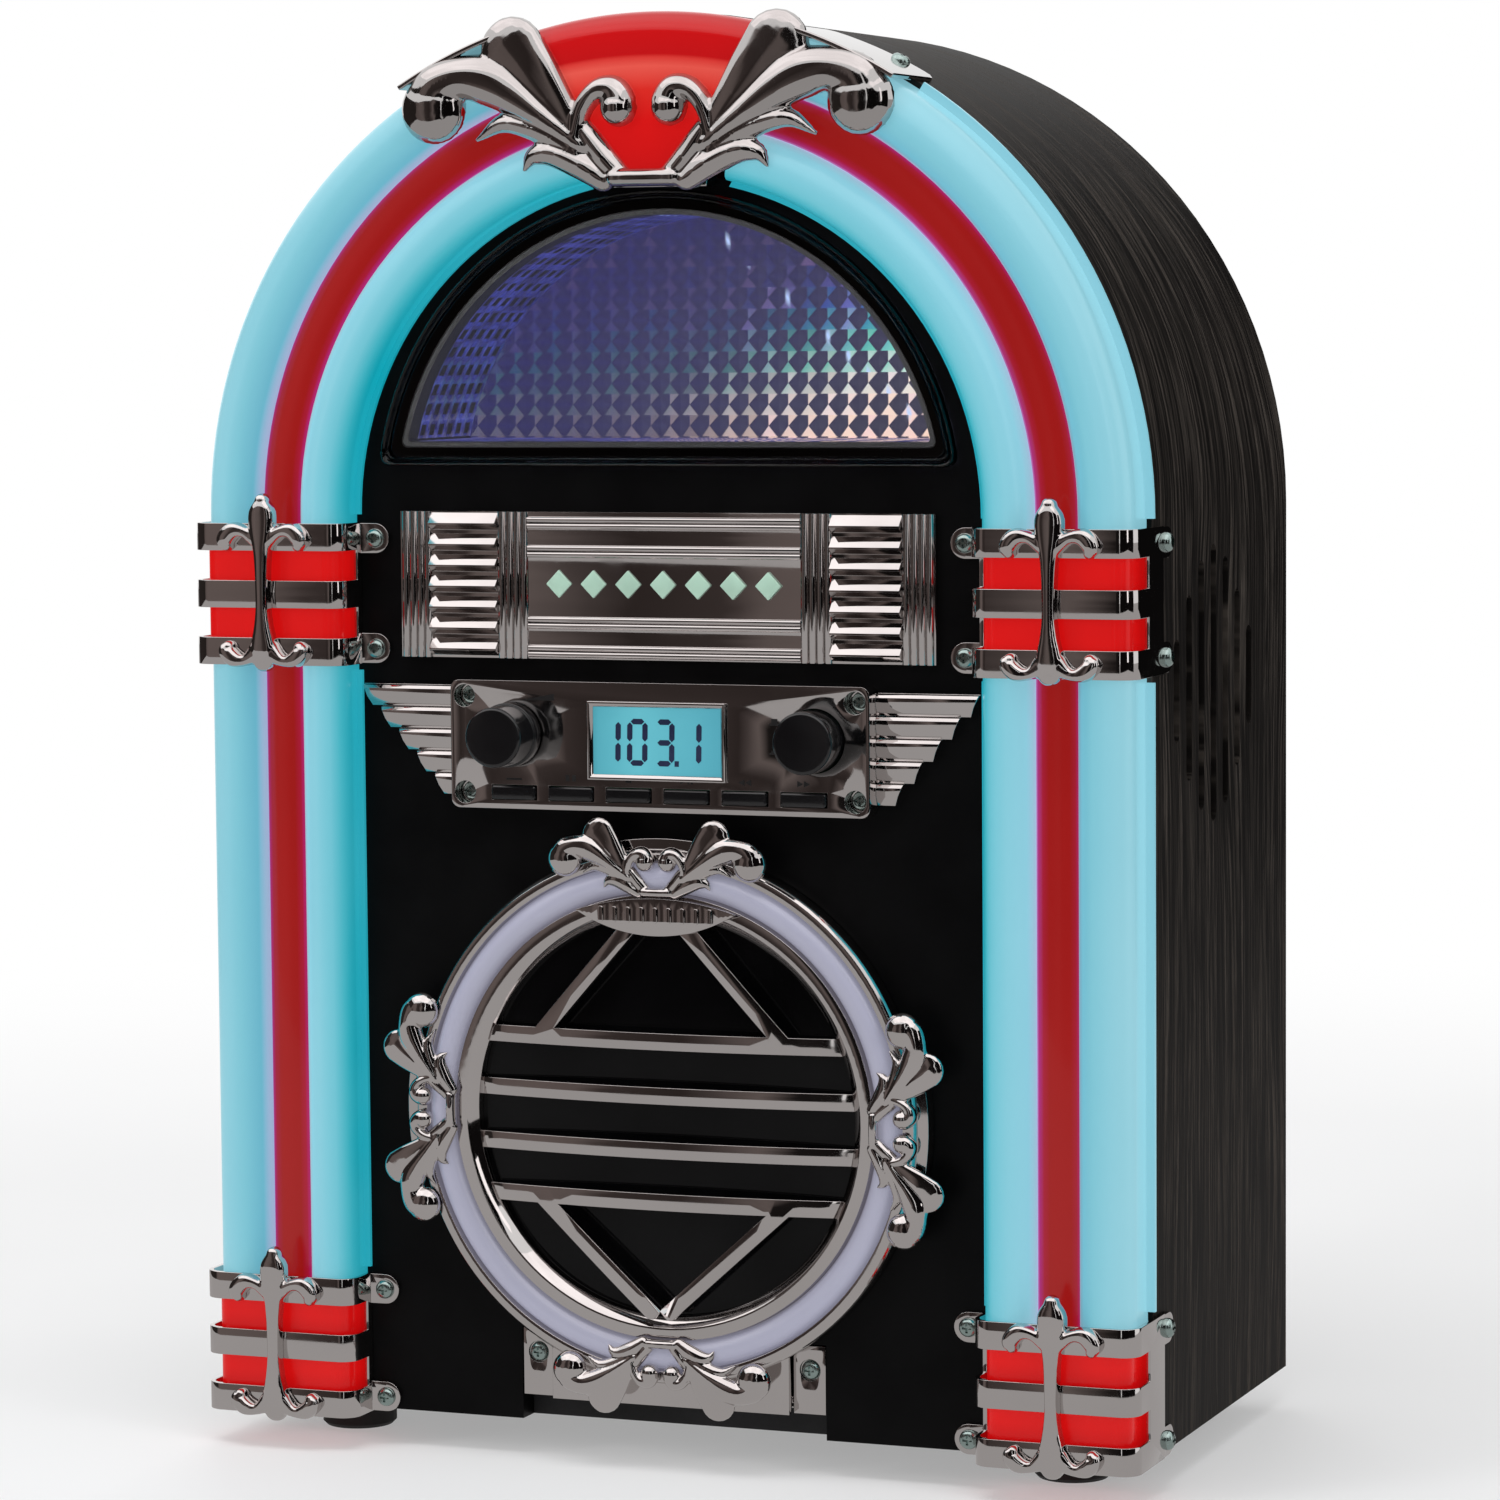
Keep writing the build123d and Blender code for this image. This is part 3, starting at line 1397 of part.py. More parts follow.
def main_board():
    z = base_top + 8
    top = z + board_thickness
    x0 = 93 - cabinet_inner
    x1 = cabinet_inner - 27
    y1 = rear_face - 24.5
    y0 = y1 - 80
    board = block(x0, x1, y0, y1, z, top)
    for x in (x0 + 6, x1 - 6):
        for y in (y0 + 6, y1 - 6):
            board += Pos(x, y, (base_top + z) / 2) * Cylinder(3, z - base_top)
    board += block(x1 - 58, x1 - 44, y0 + 8, y1 - 8, top, z + 30)
    for x, y, radius, height in ((22, 18, 8, 26), (42, 18, 8, 26), (72, 58, 5, 14), (87, 58, 5, 14)):
        board += Pos(x0 + x, y0 + y, top + height / 2) * Cylinder(radius, height)
    board += block(x0 + 42, x0 + 66, y0 + 30, y0 + 48, top, z + 5)
    return board


def make_nodes():
    nodes = {
        "cabinet_shell": cabinet_shell(),
        "base_board": base_board(),
        "feet": feet(),
        "front_baffle": front_baffle(),
        "rear_panel": rear_panel(),
        "case_screws": group([foot_screws(), rear_screws()]),
        "mains_inlet": mains_inlet(),
        "aux_socket": aux_socket(),
        "led_strips": led_strips(),
    }
    nodes["arch_diffusers"] = pair(arch_diffuser())
    nodes["pillar_diffusers"] = pair(pillar_diffuser())
    nodes["tube_strips"] = group([pair(arch_strip()), pair(pillar_strip())])
    nodes["clamp_collars"] = group([pair(collar(bottom)) for bottom in clamp_bottoms()])
    nodes["tube_clamps"] = group([pair(clamp(bottom)) for bottom in clamp_bottoms()])
    nodes["clamp_fleurs"] = group([pair(fleur(bottom)) for bottom in clamp_bottoms()])
    nodes["trim_screws"] = trim_screws()
    nodes["crown_ornament"] = crown_ornament()
    nodes["crown_lens"] = crown_lens()
    nodes["dome_bezel"] = dome_bezel()
    nodes["dome_lens"] = dome_lens()
    nodes["dome_reflector"] = dome_reflector()
    nodes["grille_panel"] = grille_panel()
    nodes["name_inlays"] = name_inlays()
    nodes["radio_panel"] = radio_panel()
    nodes["wing_trims"] = pair(wing_trim())
    nodes["display_bezel"] = display_bezel()
    nodes["display_module"] = display_module()
    nodes["control_board"] = group([control_board(), volume_pot(), light_switch()])
    nodes["volume_shaft"] = volume_shaft()
    nodes["volume_knob"] = volume_knob()
    nodes["light_button"] = light_button()
    for number, x in enumerate(button_places(), start=1):
        nodes[f"key_button_{number}"] = key_button(x)
    nodes["door_frame"] = door_frame()
    nodes["door_light_ring"] = door_light_ring()
    nodes["door_grille"] = door_grille()
    nodes["door_window"] = door_window()
    nodes["push_plate"] = push_plate()
    nodes["door_ornaments"] = door_ornaments()
    nodes["hinge_brackets"] = hinge_brackets()
    nodes["catch_housing"] = catch_housing()
    nodes["catch_plunger"] = catch_plunger()
    nodes["disc_well"] = disc_well()
    nodes["deck_chassis"] = deck_chassis()
    nodes["sled_rails"] = sled_rails()
    nodes["spindle_motor"] = spindle_motor()
    nodes["disc_hub"] = disc_hub()
    nodes["laser_sled"] = laser_sled()
    nodes["sled_gear"] = sled_gear()
    nodes["sled_motor"] = sled_motor()
    basket, magnet, cone, cloth = right_speaker_parts()
    nodes["speaker_baskets"] = pair(basket)
    nodes["speaker_magnets"] = pair(magnet)
    nodes["speaker_cones"] = pair(cone)
    nodes["speaker_cloths"] = pair(cloth)
    nodes["transformer"] = transformer()
    nodes["main_board"] = main_board()
    return nodes


os.makedirs("parts", exist_ok=True)
for name, shape in make_nodes().items():
    export_step(Pos(0, y_shift, 0) * shape, f"parts/{name}.step")
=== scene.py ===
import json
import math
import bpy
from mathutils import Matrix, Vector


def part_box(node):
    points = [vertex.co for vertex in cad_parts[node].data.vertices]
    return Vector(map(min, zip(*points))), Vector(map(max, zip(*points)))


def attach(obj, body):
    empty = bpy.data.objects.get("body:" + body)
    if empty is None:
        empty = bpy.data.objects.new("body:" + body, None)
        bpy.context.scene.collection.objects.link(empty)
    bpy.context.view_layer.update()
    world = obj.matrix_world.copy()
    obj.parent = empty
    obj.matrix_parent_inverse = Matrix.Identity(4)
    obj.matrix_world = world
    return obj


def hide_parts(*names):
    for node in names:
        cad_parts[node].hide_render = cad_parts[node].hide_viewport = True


bl_info = {
    "name": "Tabletop jukebox",
    "version": (1, 0, 0),
    "blender": (4, 5, 0),
    "location": "View3D > Sidebar > Jukebox",
    "description": "Dresses a tabletop jukebox's frame: case, light tubes, chrome, radio, door and stage",
    "category": "Object",
}

import bmesh
import bpy
from bpy.props import FloatProperty, FloatVectorProperty, IntProperty, PointerProperty, StringProperty
from mathutils import Matrix, Vector

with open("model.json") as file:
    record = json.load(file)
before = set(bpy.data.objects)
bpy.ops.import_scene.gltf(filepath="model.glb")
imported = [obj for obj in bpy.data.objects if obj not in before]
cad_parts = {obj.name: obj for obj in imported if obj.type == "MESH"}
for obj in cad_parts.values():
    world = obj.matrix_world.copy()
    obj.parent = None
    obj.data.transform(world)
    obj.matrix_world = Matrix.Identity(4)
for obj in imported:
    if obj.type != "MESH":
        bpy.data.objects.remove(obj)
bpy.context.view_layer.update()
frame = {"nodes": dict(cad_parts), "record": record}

MM = 0.001
BAFFLE_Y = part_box("front_baffle")[0].y
CASE_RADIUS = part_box("cabinet_shell")[1].x

# Places in the frame, in metres

SPRING_Z = 0.3025
DOOR_Z = 0.113
DOME_Z = 0.3062
DOME_RADIUS = 0.0983
LILY_X = 0.132
CROWN_Z = 0.4045

# Sizes and places in mm; depths are from the baffle's front, and minus is towards the front

DOME_SILL = 318.0
FOIL_INSET = 7.9
FOIL_BACK = 48.2
FOIL_FRONT = 1.2
FOIL_TIP = 0.02
CLAMP_BOTTOMS = (11.0, 254.5)
LILY_ABOVE_CLAMP = 39.9
LILY_BACK = -15.7
CROWN_BACK = -13.4
DOOR_SCROLL_BACK = -9.4
DOOR_SCROLL_SCALE = 0.44
DOOR_SCROLL_RADIUS = 70.3
DOOR_PIN_RADIUS = 82.4
DOOR_PIN_X = 16.0
KEY_PITCH = 19.6
KEY_MARK_Z = 219.0
KEY_MARK_SIZE = 2.0
PANEL_MARK_DEPTHS = (-8.55, -8.35)

CHROME_NODES = (
    "tube_clamps", "grille_panel", "radio_panel", "wing_trims", "display_bezel", "door_frame",
    "door_grille", "push_plate", "hinge_brackets",
)


def colour(red, green, blue, alpha=1.0):
    """Linear colour of an 8-bit screen colour."""
    made = []
    for value in (red, green, blue):
        value /= 255
        made.append(value / 12.92 if value <= 0.04045 else ((value + 0.055) / 1.055) ** 2.4)
    return (*made, alpha)


# Materials

FINISHES = {}


class Surface:
    """A Principled material with short calls for the nodes that feed it."""

    def __init__(self, name, **values):
        self.material = bpy.data.materials.new(name)
        FINISHES[name] = self.material
        self.material.use_nodes = True
        self.tree = self.material.node_tree
        self.shader = self.tree.nodes["Principled BSDF"]
        self.set(**values)
        self._place = None

    def set(self, **values):
        for name, value in values.items():
            socket = self.shader.inputs[name.replace("_", " ")]
            if hasattr(value, "is_output"):
                self.tree.links.new(value, socket)
            else:
                socket.default_value = value

    def node(self, kind, inputs=(), **settings):
        made = self.tree.nodes.new(kind)
        for name, value in settings.items():
            setattr(made, name, value)
        for key, value in dict(inputs).items():
            if value is None:
                continue
            if hasattr(value, "is_output"):
                self.tree.links.new(value, made.inputs[key])
            else:
                made.inputs[key].default_value = value
        return made

    @property
    def place(self):
        """Object coordinates: metres in the frame."""
        if self._place is None:
            self._place = self.node("ShaderNodeTexCoord").outputs["Object"]
        return self._place

    def axes(self):
        split = self.node("ShaderNodeSeparateXYZ", {0: self.place})
        return split.outputs[0], split.outputs[1], split.outputs[2]

    def join(self, x, y, z):
        return self.node("ShaderNodeCombineXYZ", {0: x, 1: y, 2: z}).outputs[0]

    def math(self, operation, a, b=None, c=None, clamp=False):
        inputs = {0: a, 1: b, 2: c}
        return self.node("ShaderNodeMath", inputs, operation=operation, use_clamp=clamp).outputs[0]

    def span(self, value, low, high, out_low=0.0, out_high=1.0, smooth=False):
        """value from low..high mapped to out_low..out_high, held at the ends."""
        kind = "SMOOTHSTEP" if smooth else "LINEAR"
        inputs = {"Value": value, "From Min": low, "From Max": high, "To Min": out_low, "To Max": out_high}
        return self.node("ShaderNodeMapRange", inputs, interpolation_type=kind).outputs[0]

    def mix(self, factor, a, b, blend="MIX"):
        made = self.node("ShaderNodeMix", data_type="RGBA", blend_type=blend)
        for index, value in ((0, factor), (6, a), (7, b)):
            if hasattr(value, "is_output"):
                self.tree.links.new(value, made.inputs[index])
            else:
                made.inputs[index].default_value = value
        return made.outputs[2]

    def ramp(self, factor, stops):
        made = self.node("ShaderNodeValToRGB", {0: factor})
        elements = made.color_ramp.elements
        while len(elements) < len(stops):
            elements.new(1.0)
        for element, (position, shade) in zip(elements, stops):
            element.position = position
            element.color = shade
        return made.outputs[0]

    def noise(self, vector, scale, detail=3.0, rough=0.5, distortion=0.0):
        inputs = {"Vector": vector, "Scale": scale, "Detail": detail, "Roughness": rough,
                  "Distortion": distortion}
        return self.node("ShaderNodeTexNoise", inputs).outputs[0]

    def bump(self, height, strength, distance):
        inputs = {"Height": height, "Strength": strength, "Distance": distance}
        self.set(Normal=self.node("ShaderNodeBump", inputs).outputs[0])

    def length(self, a, b):
        return self.math("SQRT", self.math("ADD", self.math("MULTIPLY", a, a), self.math("MULTIPLY", b, b)))

    def reach(self):
        """Distance from the case's middle line, round the arch's centre above the spring line."""
        x, y, z = self.axes()
        above = self.math("MAXIMUM", self.math("SUBTRACT", z, SPRING_Z), 0.0)
        return self.length(x, above)

    def lit(self, body, own, strength):
        """Plastic lit from behind; own is the share of its colour that it also shows in plain light."""
        shade = self.mix(1.0, body, (own, own, own, 1.0), "MULTIPLY")
        self.set(Base_Color=shade, Emission_Color=body, Emission_Strength=strength)


def wood_surface():
    """Black-stained ash wrapped round the case: the grain runs up the sides and over the top."""
    made = Surface("black_ash", Specular_IOR_Level=0.05)
    x, y, z = made.axes()
    above = made.math("MAXIMUM", made.math("SUBTRACT", z, SPRING_Z), 0.0001)
    angle = made.math("ARCTAN2", x, above)
    below = made.math("MINIMUM", made.math("SUBTRACT", z, SPRING_Z), 0.0)
    along = made.math("SUBTRACT", made.math("MULTIPLY", angle, CASE_RADIUS),
                      made.math("MULTIPLY", below, made.math("SIGN", x)))
    slow = made.join(made.math("MULTIPLY", along, 5.5), made.math("MULTIPLY", y, 14.0), 0.3)
    sway = made.noise(slow, 1.0, 2.0)
    wave = made.math("ADD", y, made.math("MULTIPLY", sway, 0.030))

    def drawn_out(length, width, seed):
        return made.join(made.math("MULTIPLY", along, length), made.math("MULTIPLY", wave, width), seed)

    fine = made.noise(drawn_out(16.0, 620.0, 0.0), 1.0, 3.0, 0.6)
    broad = made.noise(drawn_out(5.0, 150.0, 4.0), 1.0, 2.0, 0.5)
    flecks = made.noise(drawn_out(130.0, 1500.0, 2.0), 1.0, 2.0, 0.5)
    lines = made.span(fine, 0.44, 0.60, 0.0, 1.0, True)
    bands = made.span(broad, 0.36, 0.64, 0.25, 1.0, True)
    grain = made.math("MULTIPLY", lines, bands)
    grain = made.math("MULTIPLY", grain, made.span(flecks, 0.30, 0.60, 0.45, 1.0))
    made.set(Base_Color=made.mix(grain, colour(20, 18, 17), colour(74, 68, 63)))
    made.set(Roughness=made.span(grain, 0.0, 1.0, 0.5, 0.72))
    made.bump(grain, 0.35, 0.0004)


def board_surface(name, dark, light, rough, scale, strength, shine=0.35):
    """Painted or moulded board with a fine even texture."""
    made = Surface(name, Specular_IOR_Level=shine)
    fleck = made.noise(made.place, scale, 4.0, 0.6)
    cloud = made.noise(made.place, scale * 0.03, 2.0)
    made.set(Base_Color=made.mix(made.span(cloud, 0.35, 0.65), dark, light))
    made.set(Roughness=made.span(fleck, 0.3, 0.7, rough - 0.06, rough + 0.06))
    made.bump(fleck, strength, 0.0002)


def chrome_surface(name, tint, rough=0.045, smudge=0.07):
    """Plated plastic: mirror-like, with faint smudges and a slow waviness of the moulding."""
    made = Surface(name, Metallic=1.0)
    film = made.noise(made.place, 38.0, 4.0, 0.6, 0.6)
    haze = made.noise(made.place, 15.0, 2.0)
    warm = tuple(value * 0.86 for value in tint[:3]) + (1.0,)
    made.set(Base_Color=made.mix(made.span(haze, 0.35, 0.7, 0.0, 0.6), tint, warm))
    made.set(Roughness=made.span(film, 0.42, 0.75, rough, rough + smudge, True))
    made.bump(made.noise(made.place, 70.0, 1.0), 0.05, 0.0006)


def metal_surface(name, tint, rough, scale=900.0):
    """Zinc-plated or drawn metal with a fine crystalline variation."""
    made = Surface(name, Metallic=1.0)
    grain = made.noise(made.place, scale, 3.0, 0.6)
    dark = tuple(value * 0.72 for value in tint[:3]) + (1.0,)
    made.set(Base_Color=made.mix(grain, dark, tint))
    made.set(Roughness=made.span(grain, 0.3, 0.7, rough * 0.75, rough * 1.3))
    made.bump(grain, 0.12, 0.0001)


def plastic_surface(name, tint, rough, grain=1500.0, strength=0.06, coat=0.0):
    """Moulded plastic with a fine leather-like grain and slightly uneven gloss."""
    made = Surface(name, Coat_Weight=coat, Coat_Roughness=0.08)
    cloud = made.noise(made.place, 45.0, 3.0)
    lighter = tuple(min(1.0, value * 1.35 + 0.002) for value in tint[:3]) + (1.0,)
    made.set(Base_Color=made.mix(made.span(cloud, 0.3, 0.7), tint, lighter))
    made.set(Roughness=made.span(cloud, 0.3, 0.7, rough * 0.85, rough * 1.15))
    made.bump(made.noise(made.place, grain, 3.0), strength, 0.0001)


def tube_surface(settings):
    """Lit diffuser, pale cyan, with shade and light painted across its lobes: painted turquoise shade at the
    inner root and beside the strip, paler towards the outer edge, and thin painted highlights along the red
    strip.
    """
    made = Surface("tube_glow", Roughness=0.3, Specular_IOR_Level=0.3, Coat_Weight=0.25, Coat_Roughness=0.12)
    reach = made.reach()
    # Painted shade and light: deeper turquoise at each lobe's root and paler over the lobe, thin painted
    # highlights at 0.325 to 0.338 and at 0.61 on either side of the strip, and painted violet light from the
    # strip between them.
    body = made.ramp(made.span(reach, 0.107, 0.157), [
        (0.000, colour(10, 172, 190)),
        (0.035, colour(60, 186, 202)),
        (0.090, colour(112, 200, 216)),
        (0.190, colour(138, 208, 224)),
        (0.300, colour(150, 214, 231)),
        (0.325, colour(164, 214, 236)),
        (0.338, colour(190, 206, 240)),
        (0.345, colour(150, 110, 200)),
        (0.600, colour(150, 110, 200)),
        (0.610, colour(176, 196, 232)),
        (0.640, colour(108, 186, 208)),
        (0.740, colour(128, 200, 216)),
        (0.850, colour(144, 208, 223)),
        (0.950, colour(154, 214, 228)),
        (1.000, colour(146, 210, 226)),
    ])
    cloud = made.noise(made.place, 14.0, 2.0)
    body = made.mix(made.span(cloud, 0.3, 0.7, 0.0, 0.18), body, colour(118, 196, 214))
    made.lit(body, settings.tube_base, settings.tube_glow)
    made.bump(made.noise(made.place, 25.0, 2.0), 0.04, 0.001)


def strip_surface(settings):
    """Deep red strip, with the tubes' light painted on as magenta along its edges, palest at the very edge.
    """
    made = Surface("red_strip", Roughness=0.22, Specular_IOR_Level=0.3, Coat_Weight=0.3, Coat_Roughness=0.06)
    reach = made.reach()
    # Painted light: magenta from the tubes along both edges of the strip.
    body = made.ramp(made.span(reach, 0.1234, 0.1376), [
        (0.00, colour(206, 150, 220)),
        (0.05, colour(186, 40, 130)),
        (0.16, colour(176, 24, 56)),
        (0.30, colour(164, 24, 22)),
        (0.78, colour(166, 24, 22)),
        (0.90, colour(172, 26, 50)),
        (0.97, colour(178, 34, 110)),
        (1.00, colour(190, 120, 200)),
    ])
    cloud = made.noise(made.place, 18.0, 2.0)
    body = made.mix(made.span(cloud, 0.35, 0.7, 0.0, 0.25), body, colour(150, 16, 16))
    made.lit(body, settings.tube_base, settings.red_glow)
    made.bump(made.noise(made.place, 30.0, 2.0), 0.05, 0.001)


def collar_surface(settings):
    """Bright red collar behind the chrome bands, with soft level bands of deeper red."""
    made = Surface("red_collar", Roughness=0.26, Specular_IOR_Level=0.25, Coat_Weight=0.2,
                   Coat_Roughness=0.08)
    cloud = made.noise(made.place, 30.0, 2.0)
    x, y, z = made.axes()
    band = made.math("ABSOLUTE", made.math("SINE", made.math("MULTIPLY", z, 170.0)))
    body = made.mix(made.span(band, 0.1, 0.9), colour(200, 12, 14), colour(226, 18, 18))
    body = made.mix(made.span(cloud, 0.35, 0.7, 0.0, 0.3), body, colour(196, 10, 14))
    made.lit(body, settings.tube_base, settings.red_glow)


def lens_surface(settings):
    """Lit crown lens: deep red above, a paler band where the lamp sits, clear red below."""
    made = Surface("crown_lens", Roughness=0.2, Specular_IOR_Level=0.3, Coat_Weight=0.3, Coat_Roughness=0.05)
    x, y, z = made.axes()
    bow = made.math("ADD", z, made.math("MULTIPLY", made.math("MULTIPLY", x, x), 3.2))
    body = made.ramp(made.span(bow, 0.410, 0.462), [
        (0.00, colour(206, 16, 18)),
        (0.30, colour(222, 18, 18)),
        (0.48, colour(226, 44, 36)),
        (0.62, colour(236, 92, 80)),
        (0.67, colour(222, 60, 54)),
        (0.69, colour(196, 16, 20)),
        (0.86, colour(206, 14, 18)),
        (1.00, colour(176, 8, 14)),
    ])
    cloud = made.noise(made.place, 25.0, 2.0)
    body = made.mix(made.span(cloud, 0.35, 0.7, 0.0, 0.15), body, colour(196, 14, 18))
    made.lit(body, settings.tube_base, settings.red_glow)


def foil_surface(name, settings, side):
    """Prismatic foil with a lamp's light painted on it: in each cell, the grooves about its centre show a
    painted reflection of the lamp in two facing sectors.

    The painted light moves from peach near the lamp, low on the right, through teal and blue to indigo, and
    the foil glows with it, though it is no lamp. On the reflector's side wall the cells run round the arch
    instead of across it.
    """
    made = Surface(name, Roughness=0.35, Specular_IOR_Level=0.2)
    x, y, z = made.axes()
    pitch = settings.foil_pitch * MM
    if side:
        angle = made.math("ARCTAN2", x, made.math("SUBTRACT", z, DOME_Z))
        across, rise = made.math("MULTIPLY", angle, DOME_RADIUS), y
    else:
        across, rise = x, z
    u = made.math("DIVIDE", across, pitch)
    v = made.math("DIVIDE", rise, pitch)
    column = made.math("FLOOR", u)
    row = made.math("FLOOR", v)
    du = made.math("SUBTRACT", made.math("SUBTRACT", u, column), 0.5)
    dv = made.math("SUBTRACT", made.math("SUBTRACT", v, row), 0.5)
    turn = made.math("ARCTAN2", dv, du)
    cell = made.join(column, row, 0.0)
    stray = made.node("ShaderNodeTexWhiteNoise", {"Vector": cell}, noise_dimensions="3D").outputs["Value"]
    # Painted reflection of the lamp: two facing sectors of each cell catch it.
    lower = made.math("MULTIPLY", made.span(turn, -2.30, -2.18), made.span(turn, -0.98, -0.86, 1.0, 0.0))
    upper = made.math("MULTIPLY", made.span(turn, 0.80, 0.92), made.span(turn, 1.60, 1.68, 1.0, 0.0))
    catch = made.math("MAXIMUM", lower, upper)
    comb = made.math("MULTIPLY_ADD", made.math("SINE", made.math("MULTIPLY", turn, 38.0)), 0.5, 0.5)
    # Painted light: the colour fades from the lamp, low on the right, towards the upper left.
    low_x = made.math("SUBTRACT", x, 0.078)
    low_z = made.math("SUBTRACT", z, DOME_SILL * MM)
    level = made.math("ADD", low_z, made.math("MULTIPLY", low_x, -0.10))
    tone = made.math("ADD", made.span(level, 0.0, 0.086), made.math("MULTIPLY", stray, 0.07))
    tone = made.math("ADD", tone, made.math("MULTIPLY", made.span(turn, -2.3, 1.7), -0.10))
    light = made.ramp(tone, [
        (0.00, colour(255, 214, 186)),
        (0.20, colour(250, 222, 206)),
        (0.33, colour(226, 230, 222)),
        (0.43, colour(110, 214, 190)),
        (0.54, colour(52, 168, 196)),
        (0.64, colour(56, 96, 204)),
        (0.80, colour(52, 50, 150)),
        (1.00, colour(40, 38, 110)),
    ])
    pink = made.mix(comb, light, colour(244, 190, 214))
    tinted = made.mix(made.span(stray, 0.3, 0.9, 0.0, 0.55), light, pink)
    # Painted pool of the lamp's light, brightest low on the right.
    spread = made.math("MULTIPLY", level, 9.0)
    glow = made.math("SUBTRACT", made.math("MULTIPLY", low_x, 9.5), spread)
    glow = made.math("ADD", glow, made.math("MULTIPLY", stray, 0.22))
    glow = made.span(glow, -1.15, -0.30, 0.10, 1.0, True)
    # Painted shade: the facets that catch no lamp, darker and bluer away from it.
    shore = made.math("SUBTRACT", made.math("MULTIPLY", low_x, 6.0), spread)
    ground = made.ramp(made.span(shore, -1.6, 0.1), [
        (0.0, colour(38, 36, 104)),
        (0.45, colour(46, 44, 92)),
        (0.75, colour(56, 54, 78)),
        (1.0, colour(60, 58, 72)),
    ])
    if side:
        catch = made.math("MULTIPLY", catch, 0.55)
        ground = made.mix(stray, colour(34, 34, 96), colour(56, 66, 160))
    # Painted shade on the dark facets, deeper towards each cell's corners.
    quarter = made.span(made.math("ABSOLUTE", made.math("SINE", made.math("MULTIPLY", turn, 2.0))), 0.0, 1.0)
    ground = made.mix(made.math("MULTIPLY", quarter, 0.45), ground, colour(34, 30, 62))
    # Painted glints: a thin diagonal line of blue-white sparkle.
    slope = made.math("ADD", z, made.math("MULTIPLY", x, 0.9))
    glint_streak = made.math("ABSOLUTE", made.math("SUBTRACT", slope, 0.392))
    painted_glint = made.math("MULTIPLY", made.span(glint_streak, 0.0, 0.0030, 1.0, 0.0), made.span(stray, 0.55, 0.75))
    painted_glint = made.math("MULTIPLY", painted_glint, made.span(made.math("ABSOLUTE", du), 0.05, 0.16, 1.0, 0.0))
    body = made.mix(made.math("MULTIPLY", catch, glow), ground, tinted)
    body = made.mix(painted_glint, body, colour(190, 214, 255))
    # The foil glows with its painted light, though it is no lamp.
    made.set(Base_Color=made.mix(0.8, body, (0.0, 0.0, 0.0, 1.0)))
    made.set(Emission_Color=body, Emission_Strength=settings.foil_glow)
    facet = made.math("MAXIMUM", made.math("ABSOLUTE", du), made.math("ABSOLUTE", dv))
    made.bump(made.math("ADD", facet, made.math("MULTIPLY", comb, 0.05)), 0.4, 0.0015)


def clear_surface(name, tint, rough=0.02):
    """Clear moulding: very slightly wavy, so reflections in it move."""
    made = Surface(name, Base_Color=tint, Transmission_Weight=1.0, IOR=1.38)
    film = made.noise(made.place, 30.0, 2.0)
    made.set(Roughness=made.span(film, 0.4, 0.7, rough, rough + 0.03))
    made.bump(made.noise(made.place, 12.0, 1.0), 0.04, 0.001)


def smoke_surface():
    """Smoked window: nearly black, with a faint film on its face."""
    made = Surface("smoke_window", Roughness=0.06, Specular_IOR_Level=0.12)
    film = made.noise(made.place, 24.0, 3.0)
    made.set(Base_Color=made.mix(made.span(film, 0.35, 0.7), colour(5, 5, 6), colour(13, 13, 14)))
    made.set(Transmission_Weight=made.span(film, 0.3, 0.7, 0.08, 0.14))
    made.bump(made.noise(made.place, 8.0, 1.0), 0.03, 0.001)


def display_surface(settings):
    """Backlit display: the lamp sits at the left, so the field fades to the right."""
    made = Surface("display_light", Roughness=0.2, Specular_IOR_Level=0.3)
    x, y, z = made.axes()
    body = made.ramp(made.span(x, -0.022, 0.022), [
        (0.0, colour(84, 168, 184)), (0.35, colour(104, 190, 204)), (1.0, colour(84, 166, 184)),
    ])
    film = made.noise(made.place, 60.0, 2.0)
    body = made.mix(made.span(film, 0.35, 0.7, 0.0, 0.25), body, colour(82, 164, 180))
    made.set(Base_Color=made.mix(0.75, body, (0.0, 0.0, 0.0, 1.0)))
    made.set(Emission_Color=body, Emission_Strength=settings.display_glow)


def ring_surface(settings):
    """Milky ring lit from behind, a little bluer at its edges."""
    made = Surface("ring_glow", Roughness=0.3, Coat_Weight=0.5, Coat_Roughness=0.12)
    x, y, z = made.axes()
    down = made.math("SUBTRACT", z, DOOR_Z)
    reach = made.length(x, down)
    body = made.ramp(made.span(reach, 0.0710, 0.0810), [
        (0.0, colour(138, 136, 152)), (0.3, colour(164, 164, 182)), (0.7, colour(172, 172, 192)),
        (1.0, colour(150, 150, 170)),
    ])
    cloud = made.noise(made.place, 20.0, 2.0)
    body = made.mix(made.span(cloud, 0.35, 0.7, 0.0, 0.3), body, colour(160, 160, 180))
    made.lit(body, 0.55, settings.ring_glow)


